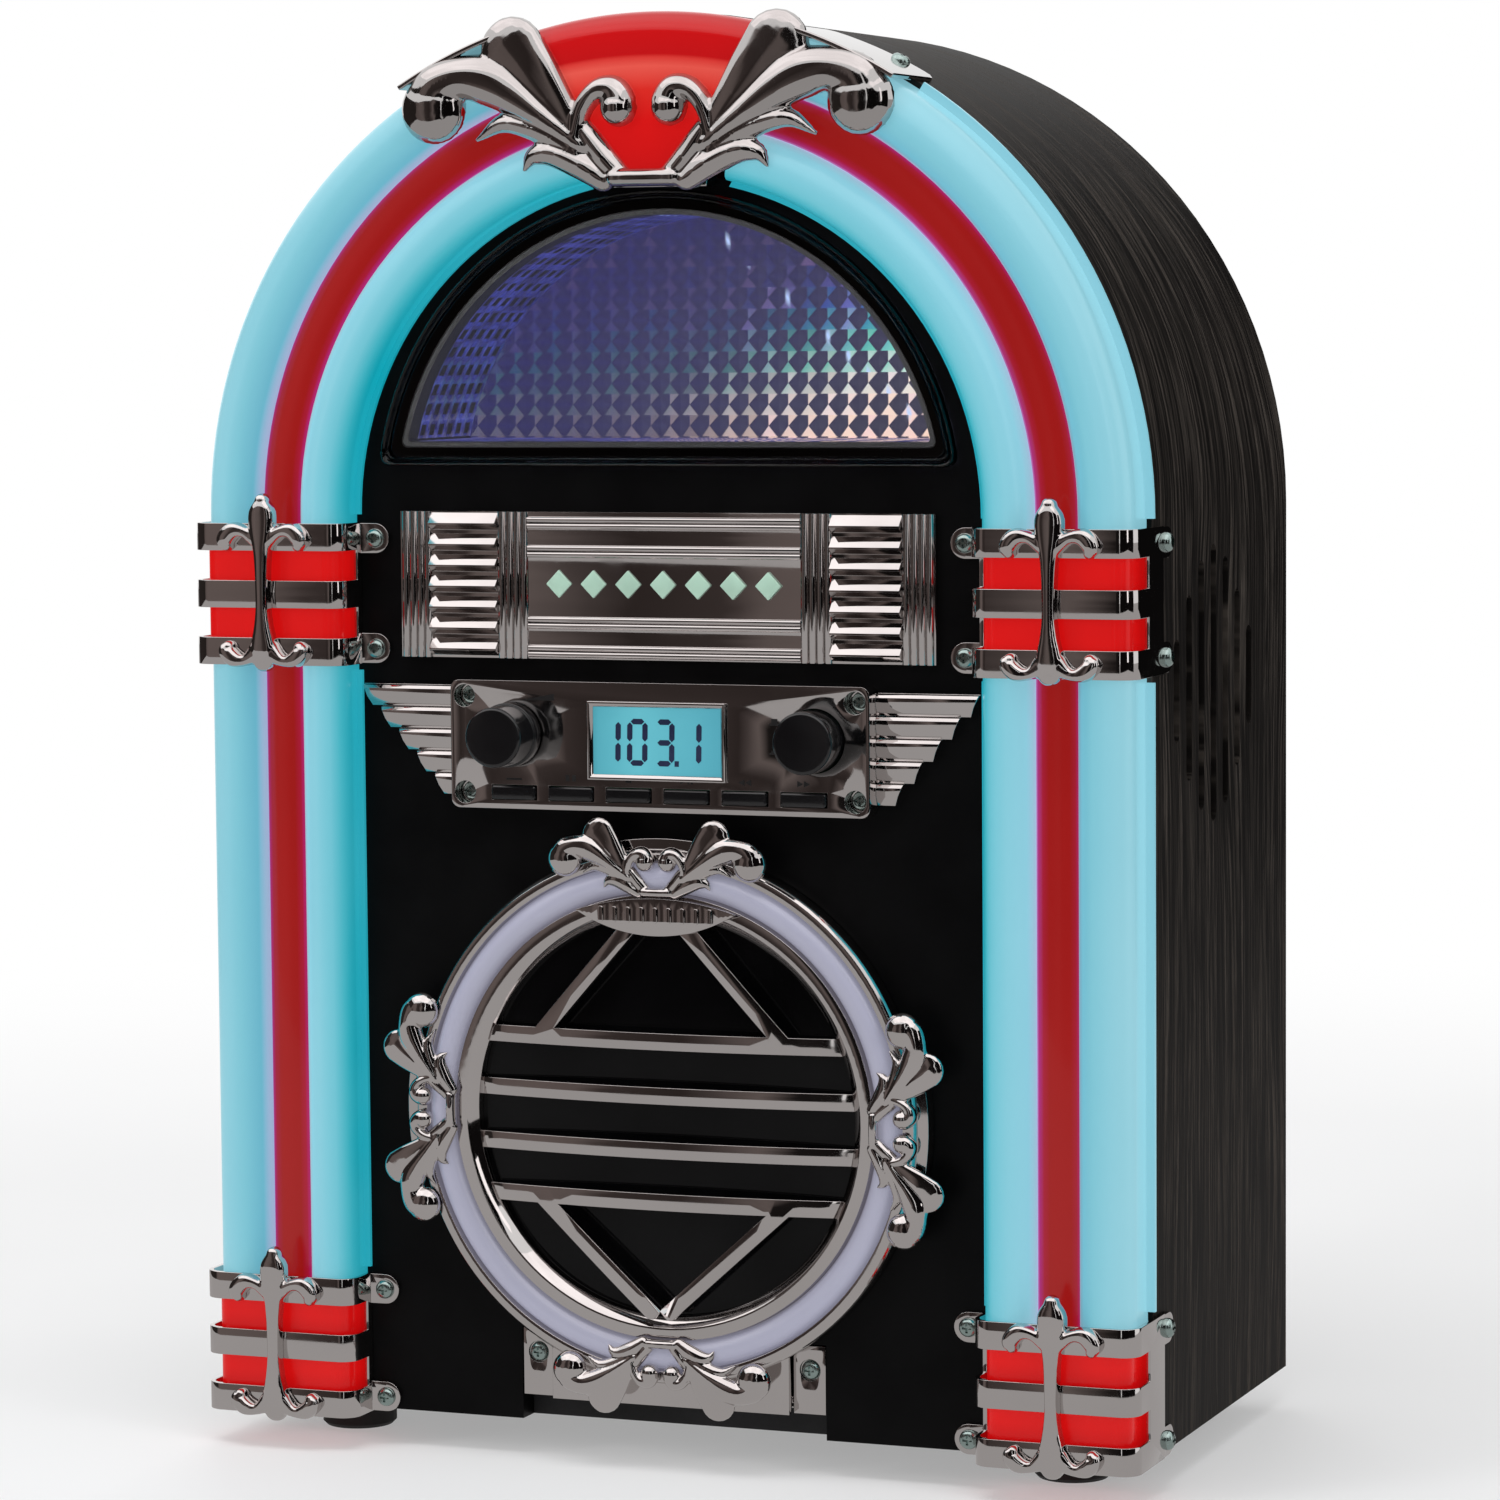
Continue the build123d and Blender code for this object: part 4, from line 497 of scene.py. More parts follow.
def floor_surface():
    """Pale floor: it keeps the shadow near the object and fades to the white of the background."""
    made = Surface("pale_floor", Roughness=0.6, Specular_IOR_Level=0.2)
    fleck = made.noise(made.place, 3.0, 2.0)
    made.set(Base_Color=made.mix(made.span(fleck, 0.3, 0.7), colour(236, 236, 237), colour(242, 242, 243)))
    x, y, z = made.axes()
    away = made.length(x, y)
    white = made.node("ShaderNodeEmission", {"Color": (1, 1, 1, 1), "Strength": 1.0}).outputs[0]
    path = made.node("ShaderNodeLightPath")
    fade = made.math("MULTIPLY", made.span(away, 0.45, 1.3, 0.35, 1.0, True), path.outputs["Is Camera Ray"])
    seen = made.node("ShaderNodeMixShader", {0: fade, 1: made.shader.outputs[0], 2: white})
    table = made.node("ShaderNodeEmission", {"Color": (1.0, 0.97, 0.96, 1), "Strength": 0.46}).outputs[0]
    mixed = made.node("ShaderNodeMixShader", {0: path.outputs["Is Glossy Ray"], 1: seen.outputs[0], 2: table})
    output = made.tree.nodes["Material Output"]
    made.tree.links.new(mixed.outputs[0], output.inputs["Surface"])
    return made.material


def shaded_card_surface():
    """Long dark flag whose tone changes along it, as a room's dark side does."""
    made = Surface(SHADED_CARD, Base_Color=(0.0, 0.0, 0.0, 1.0), Roughness=1.0, Specular_IOR_Level=0.0)
    x, y, z = made.axes()
    cloud = made.math("MULTIPLY", made.noise(made.place, 3.0, 2.0), 0.10)
    along = made.math("ADD", made.span(x, *SHADED_CARD_X), cloud)
    made.set(Emission_Color=made.ramp(along, SHADED_CARD_STOPS), Emission_Strength=1.0)
    return made.material


def card_surface(name, shade, strength):
    """Evenly lit card, a little clouded."""
    made = Surface(name, Base_Color=(0.0, 0.0, 0.0, 1.0), Roughness=1.0, Specular_IOR_Level=0.0)
    cloud = made.noise(made.place, 2.0, 2.0)
    darker = tuple(value * 0.8 for value in shade[:3]) + (1.0,)
    made.set(Emission_Color=made.mix(made.span(cloud, 0.3, 0.7), darker, shade), Emission_Strength=strength)
    return made.material


def material(name):
    """The finish of that name; each is made once, by build_materials."""
    return FINISHES[name]


def build_materials(settings):
    wood_surface()
    tube_surface(settings)
    strip_surface(settings)
    collar_surface(settings)
    lens_surface(settings)
    foil_surface("prism_foil", settings, False)
    foil_surface("prism_foil_side", settings, True)
    display_surface(settings)
    ring_surface(settings)
    chrome_surface("chrome", settings.chrome_tint)
    # A darker copy of the plating, 0.85 as bright: painted shade for the crown's scrolls and fixings.
    chrome_surface("shaded_chrome", tuple(v * 0.85 for v in settings.chrome_tint[:3]) + (1.0,), 0.05)
    clear_surface("clear_lens", (0.97, 0.98, 1.0, 1.0))
    clear_surface("clear_bezel", (0.60, 0.62, 0.86, 1.0), 0.05)
    smoke_surface()
    board_surface("black_front", colour(3, 3, 4), colour(7, 7, 8), 0.42, 1400.0, 0.05, 0.12)
    board_surface("black_board", colour(22, 22, 23), colour(32, 32, 34), 0.62, 500.0, 0.25)
    plastic_surface("black_gloss", colour(10, 10, 12), 0.16, coat=0.3)
    plastic_surface("black_plastic", colour(20, 20, 22), 0.42, 1100.0, 0.15)
    plastic_surface("rubber", colour(18, 18, 18), 0.75, 700.0, 0.25)
    plastic_surface("white_nylon", colour(226, 224, 214), 0.4)
    plastic_surface("navy_ink", colour(24, 34, 66), 0.4)
    plastic_surface("black_ink", colour(16, 15, 16), 0.5)
    plastic_surface("pale_enamel", colour(164, 196, 178), 0.18, coat=0.6)
    plastic_surface("circuit_green", colour(16, 92, 48), 0.4)
    plastic_surface("paper_cone", colour(34, 33, 33), 0.85, 400.0, 0.5)
    plastic_surface("ferrite", colour(52, 52, 54), 0.6, 600.0, 0.4)
    metal_surface("zinc", colour(176, 196, 192), 0.22)
    metal_surface("galvanised", colour(172, 174, 176), 0.36, 220.0)
    cloth_surface()
    lamp_surface()


def cloth_surface():
    """Black speaker cloth: an open weave of crossing threads."""
    made = Surface("speaker_cloth", Roughness=0.9)
    x, y, z = made.axes()
    warp = made.math("ABSOLUTE", made.math("SINE", made.math("MULTIPLY", y, 3400.0)))
    weft = made.math("ABSOLUTE", made.math("SINE", made.math("MULTIPLY", z, 3400.0)))
    weave = made.math("MULTIPLY", warp, weft)
    made.set(Base_Color=made.mix(weave, colour(8, 8, 8), colour(34, 33, 32)))
    made.bump(weave, 0.5, 0.0003)


def lamp_surface():
    """Rows of small lamps on a white strip."""
    made = Surface("lamp_strip")
    reach = made.reach()
    x, y, z = made.axes()
    row = made.math("ABSOLUTE", made.math("SINE", made.math("MULTIPLY", made.math("ADD", x, z), 190.0)))
    spot = made.span(row, 0.86, 0.95)
    made.set(Base_Color=made.mix(spot, colour(210, 214, 214), colour(255, 250, 226)))
    made.set(Emission_Color=made.mix(spot, colour(10, 40, 46), colour(120, 220, 236)), Emission_Strength=0.6)
    made.set(Roughness=made.span(reach, 0.10, 0.16, 0.35, 0.45))


def dress(names, finish):
    """Gives CAD nodes a finish without touching their meshes."""
    for name in names.split():
        mesh = frame["nodes"][name].data
        mesh.materials.clear()
        mesh.materials.append(material(finish))


# Mesh making

def linked(name, data):
    """Object of that name, linked to the scene."""
    made = bpy.data.objects.new(name, data)
    bpy.context.scene.collection.objects.link(made)
    return made


def placed(x, y, z):
    """Point in the frame's metres of a point in mm, with y from the baffle's front."""
    return Vector((x, y, z)) * MM + Vector((0, BAFFLE_Y, 0))


def add_piece(name, mesh, finish, body, node=None, smooth=40.0):
    """Links a mesh as a piece, finishes it, and lets it ride on a body or stand for a CAD node."""
    mesh.name = name
    mesh.materials.clear()
    mesh.materials.append(material(finish))
    mesh.polygons.foreach_set("use_smooth", [True] * len(mesh.polygons))
    mesh.set_sharp_from_angle(angle=math.radians(smooth))
    piece = linked(name, mesh)
    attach(piece, body)
    if node:
        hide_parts(node)
    return piece


def mesh_from(parts):
    """One mesh from a list of (vertices, faces)."""
    vertices = []
    faces = []
    for points, loops in parts:
        start = len(vertices)
        vertices.extend(points)
        faces.extend(tuple(index + start for index in loop) for loop in loops)
    mesh = bpy.data.meshes.new("piece")
    mesh.from_pydata(vertices, [], faces)
    mesh.update()
    return mesh


def outward(mesh):
    """Merges doubles and turns every face outwards."""
    work = bmesh.new()
    work.from_mesh(mesh)
    bmesh.ops.remove_doubles(work, verts=work.verts, dist=1e-7)
    bmesh.ops.recalc_face_normals(work, faces=work.faces)
    work.to_mesh(mesh)
    work.free()
    return mesh


def refined(node, width, segments=2, angle=28.0):
    """Copy of a CAD node's mesh with its coplanar triangles joined and its corners rounded."""
    mesh = frame["nodes"][node].data.copy()
    work = bmesh.new()
    work.from_mesh(mesh)
    bmesh.ops.remove_doubles(work, verts=work.verts, dist=2e-6)
    bmesh.ops.dissolve_limit(work, angle_limit=math.radians(0.6), verts=work.verts, edges=work.edges)
    edges = [e for e in work.edges if e.is_manifold and e.calc_face_angle(0.0) > math.radians(angle)]
    bmesh.ops.bevel(work, geom=edges, offset=width, segments=segments, profile=0.5, affect="EDGES",
                    clamp_overlap=True)
    bmesh.ops.triangulate(work, faces=[f for f in work.faces if len(f.verts) > 4])
    work.to_mesh(mesh)
    work.free()
    return mesh


def smooth_path(stations, count):
    """Points along a Catmull-Rom line through the stations; every value of a station is carried."""
    rows = list(stations)
    padded = [2 * rows[0] - rows[1]] + rows + [2 * rows[-1] - rows[-2]]
    made = []
    for i in range(count + 1):
        t = i / count * (len(rows) - 1)
        k = min(int(t), len(rows) - 2)
        f = t - k
        a, b, c, d = padded[k:k + 4]
        made.append(0.5 * ((2 * b) + (c - a) * f + (2 * a - 5 * b + 4 * c - d) * f * f
                           + (3 * b - 3 * c + d - a) * f ** 3))
    return made


def leaf(stations, base_y, bow=2.2, count=30, ring=12, ridge=0.0):
    """Domed ribbon on a flat back. Stations are (x, z, half width, height) in mm; base_y is in mm."""
    path = smooth_path([Vector(s) for s in stations], count)
    rows = []
    for i, point in enumerate(path):
        before = path[max(i - 1, 0)]
        after = path[min(i + 1, count)]
        along = Vector((after[0] - before[0], after[1] - before[1])).normalized()
        rows.append((Vector((point[0], point[1])), along, max(point[2], 0.05), max(point[3], 0.1)))
    caps = 5
    first, last = rows[0], rows[-1]
    head = []
    tail = []
    for k in range(1, caps + 1):
        turn = math.pi / 2 * k / (caps + 0.35)
        head.append((first[0] - first[1] * first[2] * math.sin(turn), first[1],
                     first[2] * math.cos(turn), first[3] * math.cos(turn) ** 0.6))
        tail.append((last[0] + last[1] * last[2] * math.sin(turn), last[1],
                     last[2] * math.cos(turn), last[3] * math.cos(turn) ** 0.6))
    rows = head[::-1] + rows + tail
    points = []
    for place, along, half, height in rows:
        side = Vector((-along.y, along.x))
        for j in range(ring + 1):
            u = -math.cos(math.pi * j / ring)
            dome = max(1.0 - abs(u) ** bow, 0.0) ** (1.0 / bow)
            dome = dome * (1.0 - ridge) + (1.0 - abs(u)) * ridge
            spot = place + side * half * u
            points.append(placed(spot.x, base_y - height * dome, spot.y))
    faces = []
    size = ring + 1
    for i in range(len(rows) - 1):
        for j in range(size):
            a = i * size + j
            b = i * size + (j + 1) % size
            faces.append((a, b, b + size, a + size))
    faces.append(tuple(range(size)))
    faces.append(tuple(range(len(points) - 1, len(points) - 1 - size, -1)))
    return points, faces


def boss(x, z, radius, height, base_y, ring=24, steps=7):
    """Domed button on a flat back, all in mm."""
    points = []
    faces = []
    for k in range(steps):
        turn = math.pi / 2 * k / steps
        for j in range(ring):
            a = 2 * math.pi * j / ring
            r = radius * math.cos(turn)
            points.append(placed(x + r * math.cos(a), base_y - height * math.sin(turn), z + r * math.sin(a)))
    top = len(points)
    points.append(placed(x, base_y - height, z))
    for k in range(steps - 1):
        for j in range(ring):
            a = k * ring + j
            b = k * ring + (j + 1) % ring
            faces.append((a, b, b + ring, a + ring))
    for j in range(ring):
        faces.append(((steps - 1) * ring + j, (steps - 1) * ring + (j + 1) % ring, top))
    faces.append(tuple(range(ring)))
    return points, faces


def prism(outline, y_front, y_back):
    """Front-view outline (x, z) in mm carried between two depths in mm."""
    points = []
    for y in (y_front, y_back):
        points += [placed(x, y, z) for x, z in outline]
    count = len(outline)
    faces = [tuple(range(count)), tuple(range(2 * count - 1, count - 1, -1))]
    for i in range(count):
        j = (i + 1) % count
        faces.append((i, j, j + count, i + count))
    return points, faces


def mirrored(part):
    """The same part on the other side of the middle."""
    points, faces = part
    return [Vector((-p.x, p.y, p.z)) for p in points], [loop[::-1] for loop in faces]


def moved(part, matrix):
    """The same part after a turn or shift in metres."""
    return [matrix @ p for p in part[0]], part[1]


def fused(mesh, voxel, rounds):
    """Melts overlapping leaves into one casting: voxel remesh, then gentle smoothing."""
    piece = linked("casting", mesh)
    remesh = piece.modifiers.new("fuse", "REMESH")
    remesh.mode = "VOXEL"
    remesh.voxel_size = voxel * MM
    relax = piece.modifiers.new("relax", "SMOOTH")
    relax.factor = 0.5
    relax.iterations = rounds
    graph = bpy.context.evaluated_depsgraph_get()
    made = bpy.data.meshes.new_from_object(piece.evaluated_get(graph))
    bpy.data.objects.remove(piece)
    return made


# Scrollwork: stations are (x, z, half width, height) in mm about the middle of the base

SCROLL_LOW = (
    ((8.5, 4, 3.0, 3.4), (13.5, 9.5, 3.2, 4.0), (18, 15.5, 3.0, 4.2), (21.5, 20.5, 2.4, 4.0)),
    ((14, 3, 3.2, 3.6), (22, 8, 3.9, 4.6), (31, 11.6, 3.7, 4.4), (37.6, 10.4, 2.4, 3.2),
     (40.6, 6.4, 0.6, 1.4)),
    ((23, 12, 2.8, 4.2), (35, 18.4, 3.2, 4.6), (47, 21, 2.6, 3.8), (56.5, 16, 0.6, 1.6)),
)
SCROLL_STRAP = ((20, 14, 2.6, 4.0), (27.5, 23.5, 4.8, 4.8), (36.5, 34.5, 7.2, 5.2), (44, 43.5, 8.6, 4.8))
SCROLL_HIGH = (
    ((21, 14, 2.2, 4.6), (33, 22.5, 3.6, 6.0), (44, 30, 5.6, 6.6), (53, 34.4, 6.4, 6.9), (62, 35.4, 5.6, 7.0),
     (69.5, 32.5, 6.4, 7.0), (72, 27, 7.6, 7.0)),
    ((23.2, 14.5, 2.2, 4.6), (20.2, 25, 2.6, 5.2), (15.5, 30.4, 3.0, 5.6), (10.4, 30.6, 3.8, 5.8),
     (8.4, 26.6, 4.7, 6.2), (8.6, 24.4, 4.0, 6.0)),
)
SCROLL_BULBS = ((71.3, 25.8, 8.9, 7.6), (8.5, 25, 4.9, 6.8))
SCROLL_BAR = ((-9.6, 3.4, 2.3, 4.4), (0, 3.4, 2.3, 4.8), (9.6, 3.4, 2.3, 4.4))


def scroll_parts(scale, base_y, fat, deep):
    """Both halves of the scrolled ornament and the bar between them.

    fat widens the leaves and deep raises them, past what scale does.
    """
    half = []

    def fit(rows):
        return [(x * scale, z * scale, w * scale * fat, h * scale * deep) for x, z, w, h in rows]

    for rows in SCROLL_LOW:
        half.append(leaf(fit(rows), base_y, bow=2.4, ridge=0.25))
    half.append(leaf(fit(SCROLL_STRAP), base_y, bow=4.0, ridge=0.15))
    for rows in SCROLL_HIGH:
        half.append(leaf(fit(rows), base_y, bow=2.2))
    for x, z, radius, height in SCROLL_BULBS:
        half.append(boss(x * scale, z * scale, radius * scale * fat, height * scale * deep, base_y))
    return half + [mirrored(part) for part in half] + [leaf(fit(SCROLL_BAR), base_y, bow=2.6)]


def arc_plate(start, end, y_front, y_back, inner, outer, round_end=4.0, steps=16, rows=10):
    """Bent plate on the arch between two angles from the vertical, in mm, with rounded rear corners."""
    points = []
    centre = Vector((0, 0, SPRING_Z))
    width = math.radians(end - start) * inner
    for radius in (inner, outer):
        for i in range(steps + 1):
            angle = math.radians(start + (end - start) * i / steps)
            edge = min(i, steps - i) / steps * width
            cut = round_end - math.sqrt(max(round_end ** 2 - max(round_end - edge, 0) ** 2, 0))
            for k in range(rows + 1):
                y = y_front + (y_back - cut - y_front) * k / rows
                points.append(placed(radius * math.sin(angle), y, radius * math.cos(angle)) + centre)
    size = (steps + 1) * (rows + 1)
    faces = []
    for i in range(steps):
        for k in range(rows):
            a = i * (rows + 1) + k
            quad = (a, a + 1, a + rows + 2, a + rows + 1)
            faces.append(quad)
            faces.append(tuple(q + size for q in quad[::-1]))
    rim = [i * (rows + 1) for i in range(steps + 1)]
    rim += [steps * (rows + 1) + k for k in range(1, rows + 1)]
    rim += [i * (rows + 1) + rows for i in range(steps - 1, -1, -1)]
    rim += list(range(rows - 1, 0, -1))
    for i, a in enumerate(rim):
        b = rim[(i + 1) % len(rim)]
        faces.append((a, b, b + size, a + size))
    return points, faces


def square(x0, x1, z0, z1):
    """Front-view outline of a box, in mm."""
    return [(x0, z0), (x1, z0), (x1, z1), (x0, z1)]


def bar(x0, x1, y0, y1, z0, z1):
    """Box between two corners, in mm."""
    return prism(square(x0, x1, z0, z1), y0, y1)


# Lily: stations as in the scrollwork, about the middle of the lily's arms

LILY_STEM = (
    (0, 12.9, 2.4, 3.8), (0, 10.4, 4.1, 4.5), (0, 7.5, 4.7, 4.7), (0, 3, 4.3, 4.7), (0, -2, 3.2, 4.6),
    (0, -6, 2.7, 4.5), (0, -14, 2.3, 4.5), (0, -21, 2.3, 4.5), (0, -27, 3.0, 4.6), (0, -31, 3.9, 4.6),
    (0, -35, 4.6, 4.5), (0, -38.2, 3.8, 3.9),
)
LILY_CURLS = (
    ((1.6, 0.2, 2.7, 4.2), (6.4, 3.0, 2.0, 4.2), (10.6, 3.2, 2.8, 4.4), (13.3, 0.4, 2.8, 4.4),
     (12.7, -1.6, 1.9, 3.8)),
    ((1.6, -35.2, 4.0, 4.2), (6.6, -38.2, 2.0, 3.8), (10.8, -37.8, 2.8, 4.2), (13.3, -35.4, 2.7, 4.2),
     (12.6, -33.9, 1.9, 3.6)),
)


# Prismatic foil

def foil_tree(finish):
    """Geometry Nodes: raises every face of the sheet into a four-sided pyramid."""
    tree = bpy.data.node_groups.new("foil_facets", "GeometryNodeTree")
    interface = tree.interface
    interface.new_socket("Sheet", in_out="INPUT", socket_type="NodeSocketGeometry")
    depth = interface.new_socket("Facet depth", in_out="INPUT", socket_type="NodeSocketFloat")
    tip = interface.new_socket("Tip size", in_out="INPUT", socket_type="NodeSocketFloat")
    interface.new_socket("Foil", in_out="OUTPUT", socket_type="NodeSocketGeometry")
    nodes = tree.nodes
    links = tree.links
    source = nodes.new("NodeGroupInput")
    raised = nodes.new("GeometryNodeExtrudeMesh")
    raised.mode = "FACES"
    raised.inputs["Individual"].default_value = True
    pinched = nodes.new("GeometryNodeScaleElements")
    pinched.domain = "FACE"
    real = nodes.new("GeometryNodeRealizeInstances")
    painted = nodes.new("GeometryNodeSetMaterial")
    sink = nodes.new("NodeGroupOutput")
    links.new(source.outputs["Sheet"], raised.inputs["Mesh"])
    links.new(source.outputs["Facet depth"], raised.inputs["Offset Scale"])
    links.new(raised.outputs["Mesh"], pinched.inputs["Geometry"])
    links.new(raised.outputs["Top"], pinched.inputs["Selection"])
    links.new(source.outputs["Tip size"], pinched.inputs["Scale"])
    links.new(pinched.outputs["Geometry"], real.inputs["Geometry"])
    links.new(real.outputs["Geometry"], painted.inputs["Geometry"])
    painted.inputs["Material"].default_value = finish
    links.new(painted.outputs["Geometry"], sink.inputs["Foil"])
    return tree, depth.identifier, tip.identifier


def applied(mesh, tree, values):
    """Plain mesh of a sheet after a Geometry Nodes tree; values are keyed by socket identifier."""
    piece = bpy.data.objects.new("sheet", mesh)
    modifier = piece.modifiers.new("nodes", "NODES")
    modifier.node_group = tree
    for identifier, value in values.items():
        modifier[identifier] = value
    bpy.context.scene.collection.objects.link(piece)
    graph = bpy.context.evaluated_depsgraph_get()
    made = bpy.data.meshes.new_from_object(piece.evaluated_get(graph))
    bpy.data.objects.remove(piece)
    return made


def dome_outline(inset, count=48, corner=0.0):
    """Outline of the dome window in mm, drawn in by inset; corner rounds its two lower corners."""
    centre = DOME_Z / MM
    radius = DOME_RADIUS / MM - inset
    bottom = DOME_SILL + inset
    start = math.asin((bottom - centre) / radius)
    turn = corner / radius
    points = []
    for i in range(count + 1):
        a = start + turn + (math.pi - 2 * (start + turn)) * i / count
        points.append((radius * math.cos(a), centre + radius * math.sin(a)))
    if corner:
        edge = radius * math.cos(start)
        rounds = (
            (-edge, points[-1], (-edge + corner, bottom), range(1, 7)),
            (edge, (edge - corner, bottom), points[0], range(0, 6)),
        )
        for sharp, first, last, steps in rounds:
            for i in steps:
                f = i / 6
                x = (1 - f) ** 2 * first[0] + 2 * f * (1 - f) * sharp + f * f * last[0]
                z = (1 - f) ** 2 * first[1] + 2 * f * (1 - f) * bottom + f * f * last[1]
                points.append((x, z))
    return points


def swept(outlines):
    """Closed skin over rows of equal closed outlines; each row is a list of (x, y, z) in mm."""
    count = len(outlines[0])
    points = [placed(*point) for row in outlines for point in row]
    faces = []
    for k in range(len(outlines)):
        n = (k + 1) % len(outlines)
        for i in range(count):
            j = (i + 1) % count
            faces.append((k * count + i, k * count + j, n * count + j, n * count + i))
    return points, faces


# Bezel's section as (distance in from its edge, depth): an outer bead and a smaller inner one

DOME_BEZEL_SECTION = (
    (0, 0), (0, -2.5), (0.25, -3.2), (0.7, -3.5), (1.15, -3.2), (1.4, -2.5), (1.75, -2.3), (2.0, -2.8),
    (2.35, -3.0), (2.7, -2.7), (2.8, -2.1), (2.8, 0),
)


def clipped(polygon, outline):
    """Part of a convex polygon inside a convex anticlockwise outline."""
    for i, (ax, az) in enumerate(outline):
        bx, bz = outline[(i + 1) % len(outline)]
        side = [(bx - ax) * (z - az) - (bz - az) * (x - ax) for x, z in polygon]
        kept = []
        for j, (x, z) in enumerate(polygon):
            k = (j + 1) % len(polygon)
            if side[j] >= 0:
                kept.append((x, z))
            if side[j] * side[k] < 0:
                f = side[j] / (side[j] - side[k])
                kept.append((x + (polygon[k][0] - x) * f, z + (polygon[k][1] - z) * f))
        polygon = kept
        if len(polygon) < 3:
            return []
    return polygon


def foil_back(pitch):
    """Square cells on the reflector's back; slivers at the rim are left out."""
    outline = dome_outline(FOIL_INSET)
    parts = []
    columns = int(DOME_RADIUS / MM / pitch) + 2
    first = int(DOME_SILL / pitch)
    rows = int((DOME_Z + DOME_RADIUS) / MM / pitch) + 2
    for i in range(-columns, columns):
        for k in range(first, rows):
            x, z = i * pitch, k * pitch
            cell = clipped(square(x, x + pitch, z, z + pitch), outline)
            if len(cell) < 3:
                continue
            area = abs(sum(p[0] * q[1] - q[0] * p[1] for p, q in zip(cell, cell[1:] + cell[:1]))) / 2
            if area > 1.0:
                parts.append(([placed(px, FOIL_BACK, pz) for px, pz in cell], [tuple(range(len(cell)))]))
    return mesh_from(parts)


def foil_wall(pitch):
    """Square cells on the reflector's rounded wall and on its sill."""
    wall = dome_outline(FOIL_INSET, int(250 / pitch))
    sill = int(2 * wall[0][0] / pitch)
    left, right = wall[-1][0], wall[0][0]
    loop = wall + [(left + (right - left) * i / sill, wall[0][1]) for i in range(1, sill + 1)]
    parts = []
    for (ax, az), (bx, bz) in zip(loop, loop[1:]):
        for k in range(int((FOIL_BACK - FOIL_FRONT) / pitch)):
            y0 = FOIL_BACK - k * pitch
            y1 = y0 - pitch
            points = [placed(ax, y0, az), placed(bx, y0, bz), placed(bx, y1, bz), placed(ax, y1, az)]
            parts.append((points, [(0, 1, 2, 3)]))
    return mesh_from(parts)


# Display

SEGMENTS = {
    "0": "abcdef", "1": "bc", "2": "abged", "3": "abgcd", "4": "fgbc", "5": "afgcd", "6": "afgedc",
    "7": "abc", "8": "abcdefg", "9": "abcdfg",
}


def segment_parts(text, left, bottom, width, height, thick, y_front, y_back, slant):
    """Seven-segment digits as thin prisms; a point stands in the gap after its digit."""
    parts = []
    x = left
    gap = thick * 0.16
    half = thick / 2

    def lean(points):
        return [(px + (pz - bottom) * slant, pz) for px, pz in points]

    for sign in text:
        if sign == ".":
            dot = x - width * 0.30
            parts.append(prism(lean(square(dot, dot + thick * 0.8, bottom, bottom + thick)), y_front, y_back))
            continue
        low, mid, top = bottom + half, bottom + height / 2, bottom + height - half
        x0, x1 = x + half, x + width - half
        runs = {
            "a": (x0, top, x1, top), "g": (x0, mid, x1, mid), "d": (x0, low, x1, low),
            "f": (x0, mid, x0, top), "e": (x0, low, x0, mid), "b": (x1, mid, x1, top),
            "c": (x1, low, x1, mid),
        }
        for letter in SEGMENTS[sign]:
            ax, az, bx, bz = runs[letter]
            if az == bz:
                points = [(ax + gap, az), (ax + gap + half, az - half), (bx - gap - half, az - half),
                          (bx - gap, az), (bx - gap - half, az + half), (ax + gap + half, az + half)]
            else:
                points = [(ax, az + gap), (ax + half, az + gap + half), (ax + half, bz - gap - half),
                          (ax, bz - gap), (ax - half, bz - gap - half), (ax - half, az + gap + half)]
            parts.append(prism(lean(points), y_front, y_back))
        x += width * 1.32
    return parts


# Settings

class JukeboxSettings(bpy.types.PropertyGroup):
    edge_round: FloatProperty(name="Edge rounding", description="Rounding of the plated mouldings' corners",
                              default=0.00035, min=0.0, max=0.001, unit="LENGTH")
    chrome_tint: FloatVectorProperty(name="Chrome tint", description="Colour of the plating", subtype="COLOR",
                                     size=4, default=(0.64, 0.61, 0.60, 1.0), min=0.0, max=1.0)
    tube_base: FloatProperty(name="Lit plastic body", default=0.34, min=0.0, max=1.0,
                             description="Share of a lit piece's colour that shows in plain light")
    tube_glow: FloatProperty(name="Tube light", description="Strength of the light in the tubes",
                             default=0.66, min=0.0, max=5.0)
    red_glow: FloatProperty(name="Red light", description="Strength of the light in the red pieces",
                            default=0.66, min=0.0, max=5.0)
    ring_glow: FloatProperty(name="Ring light", description="Strength of the light in the door's ring",
                             default=0.5, min=0.0, max=5.0)
    foil_glow: FloatProperty(name="Foil light", description="Strength of the light that the foil throws back",
                             default=0.95, min=0.0, max=5.0)
    display_glow: FloatProperty(name="Display light", description="Strength of the display's backlight",
                                default=0.8, min=0.0, max=5.0)
    foil_pitch: FloatProperty(name="Foil cell", description="Width and height of a foil cell in millimetres",
                              default=6.8, min=2.0, max=20.0)
    foil_depth: FloatProperty(name="Foil relief", description="Depth of the foil's facets", default=0.0005,
                              min=0.0, max=0.003, unit="LENGTH")
    display_text: StringProperty(name="Display", description="Number shown on the display", default="103.1")
    key_count: IntProperty(name="Keys", description="Number of keys below the display", default=6,
                           min=1, max=6)


class PieceOperator:
    """Shared by the operators that build pieces."""
    bl_options = {"REGISTER", "UNDO"}

    @property
    def settings(self):
        return bpy.context.scene.jukebox


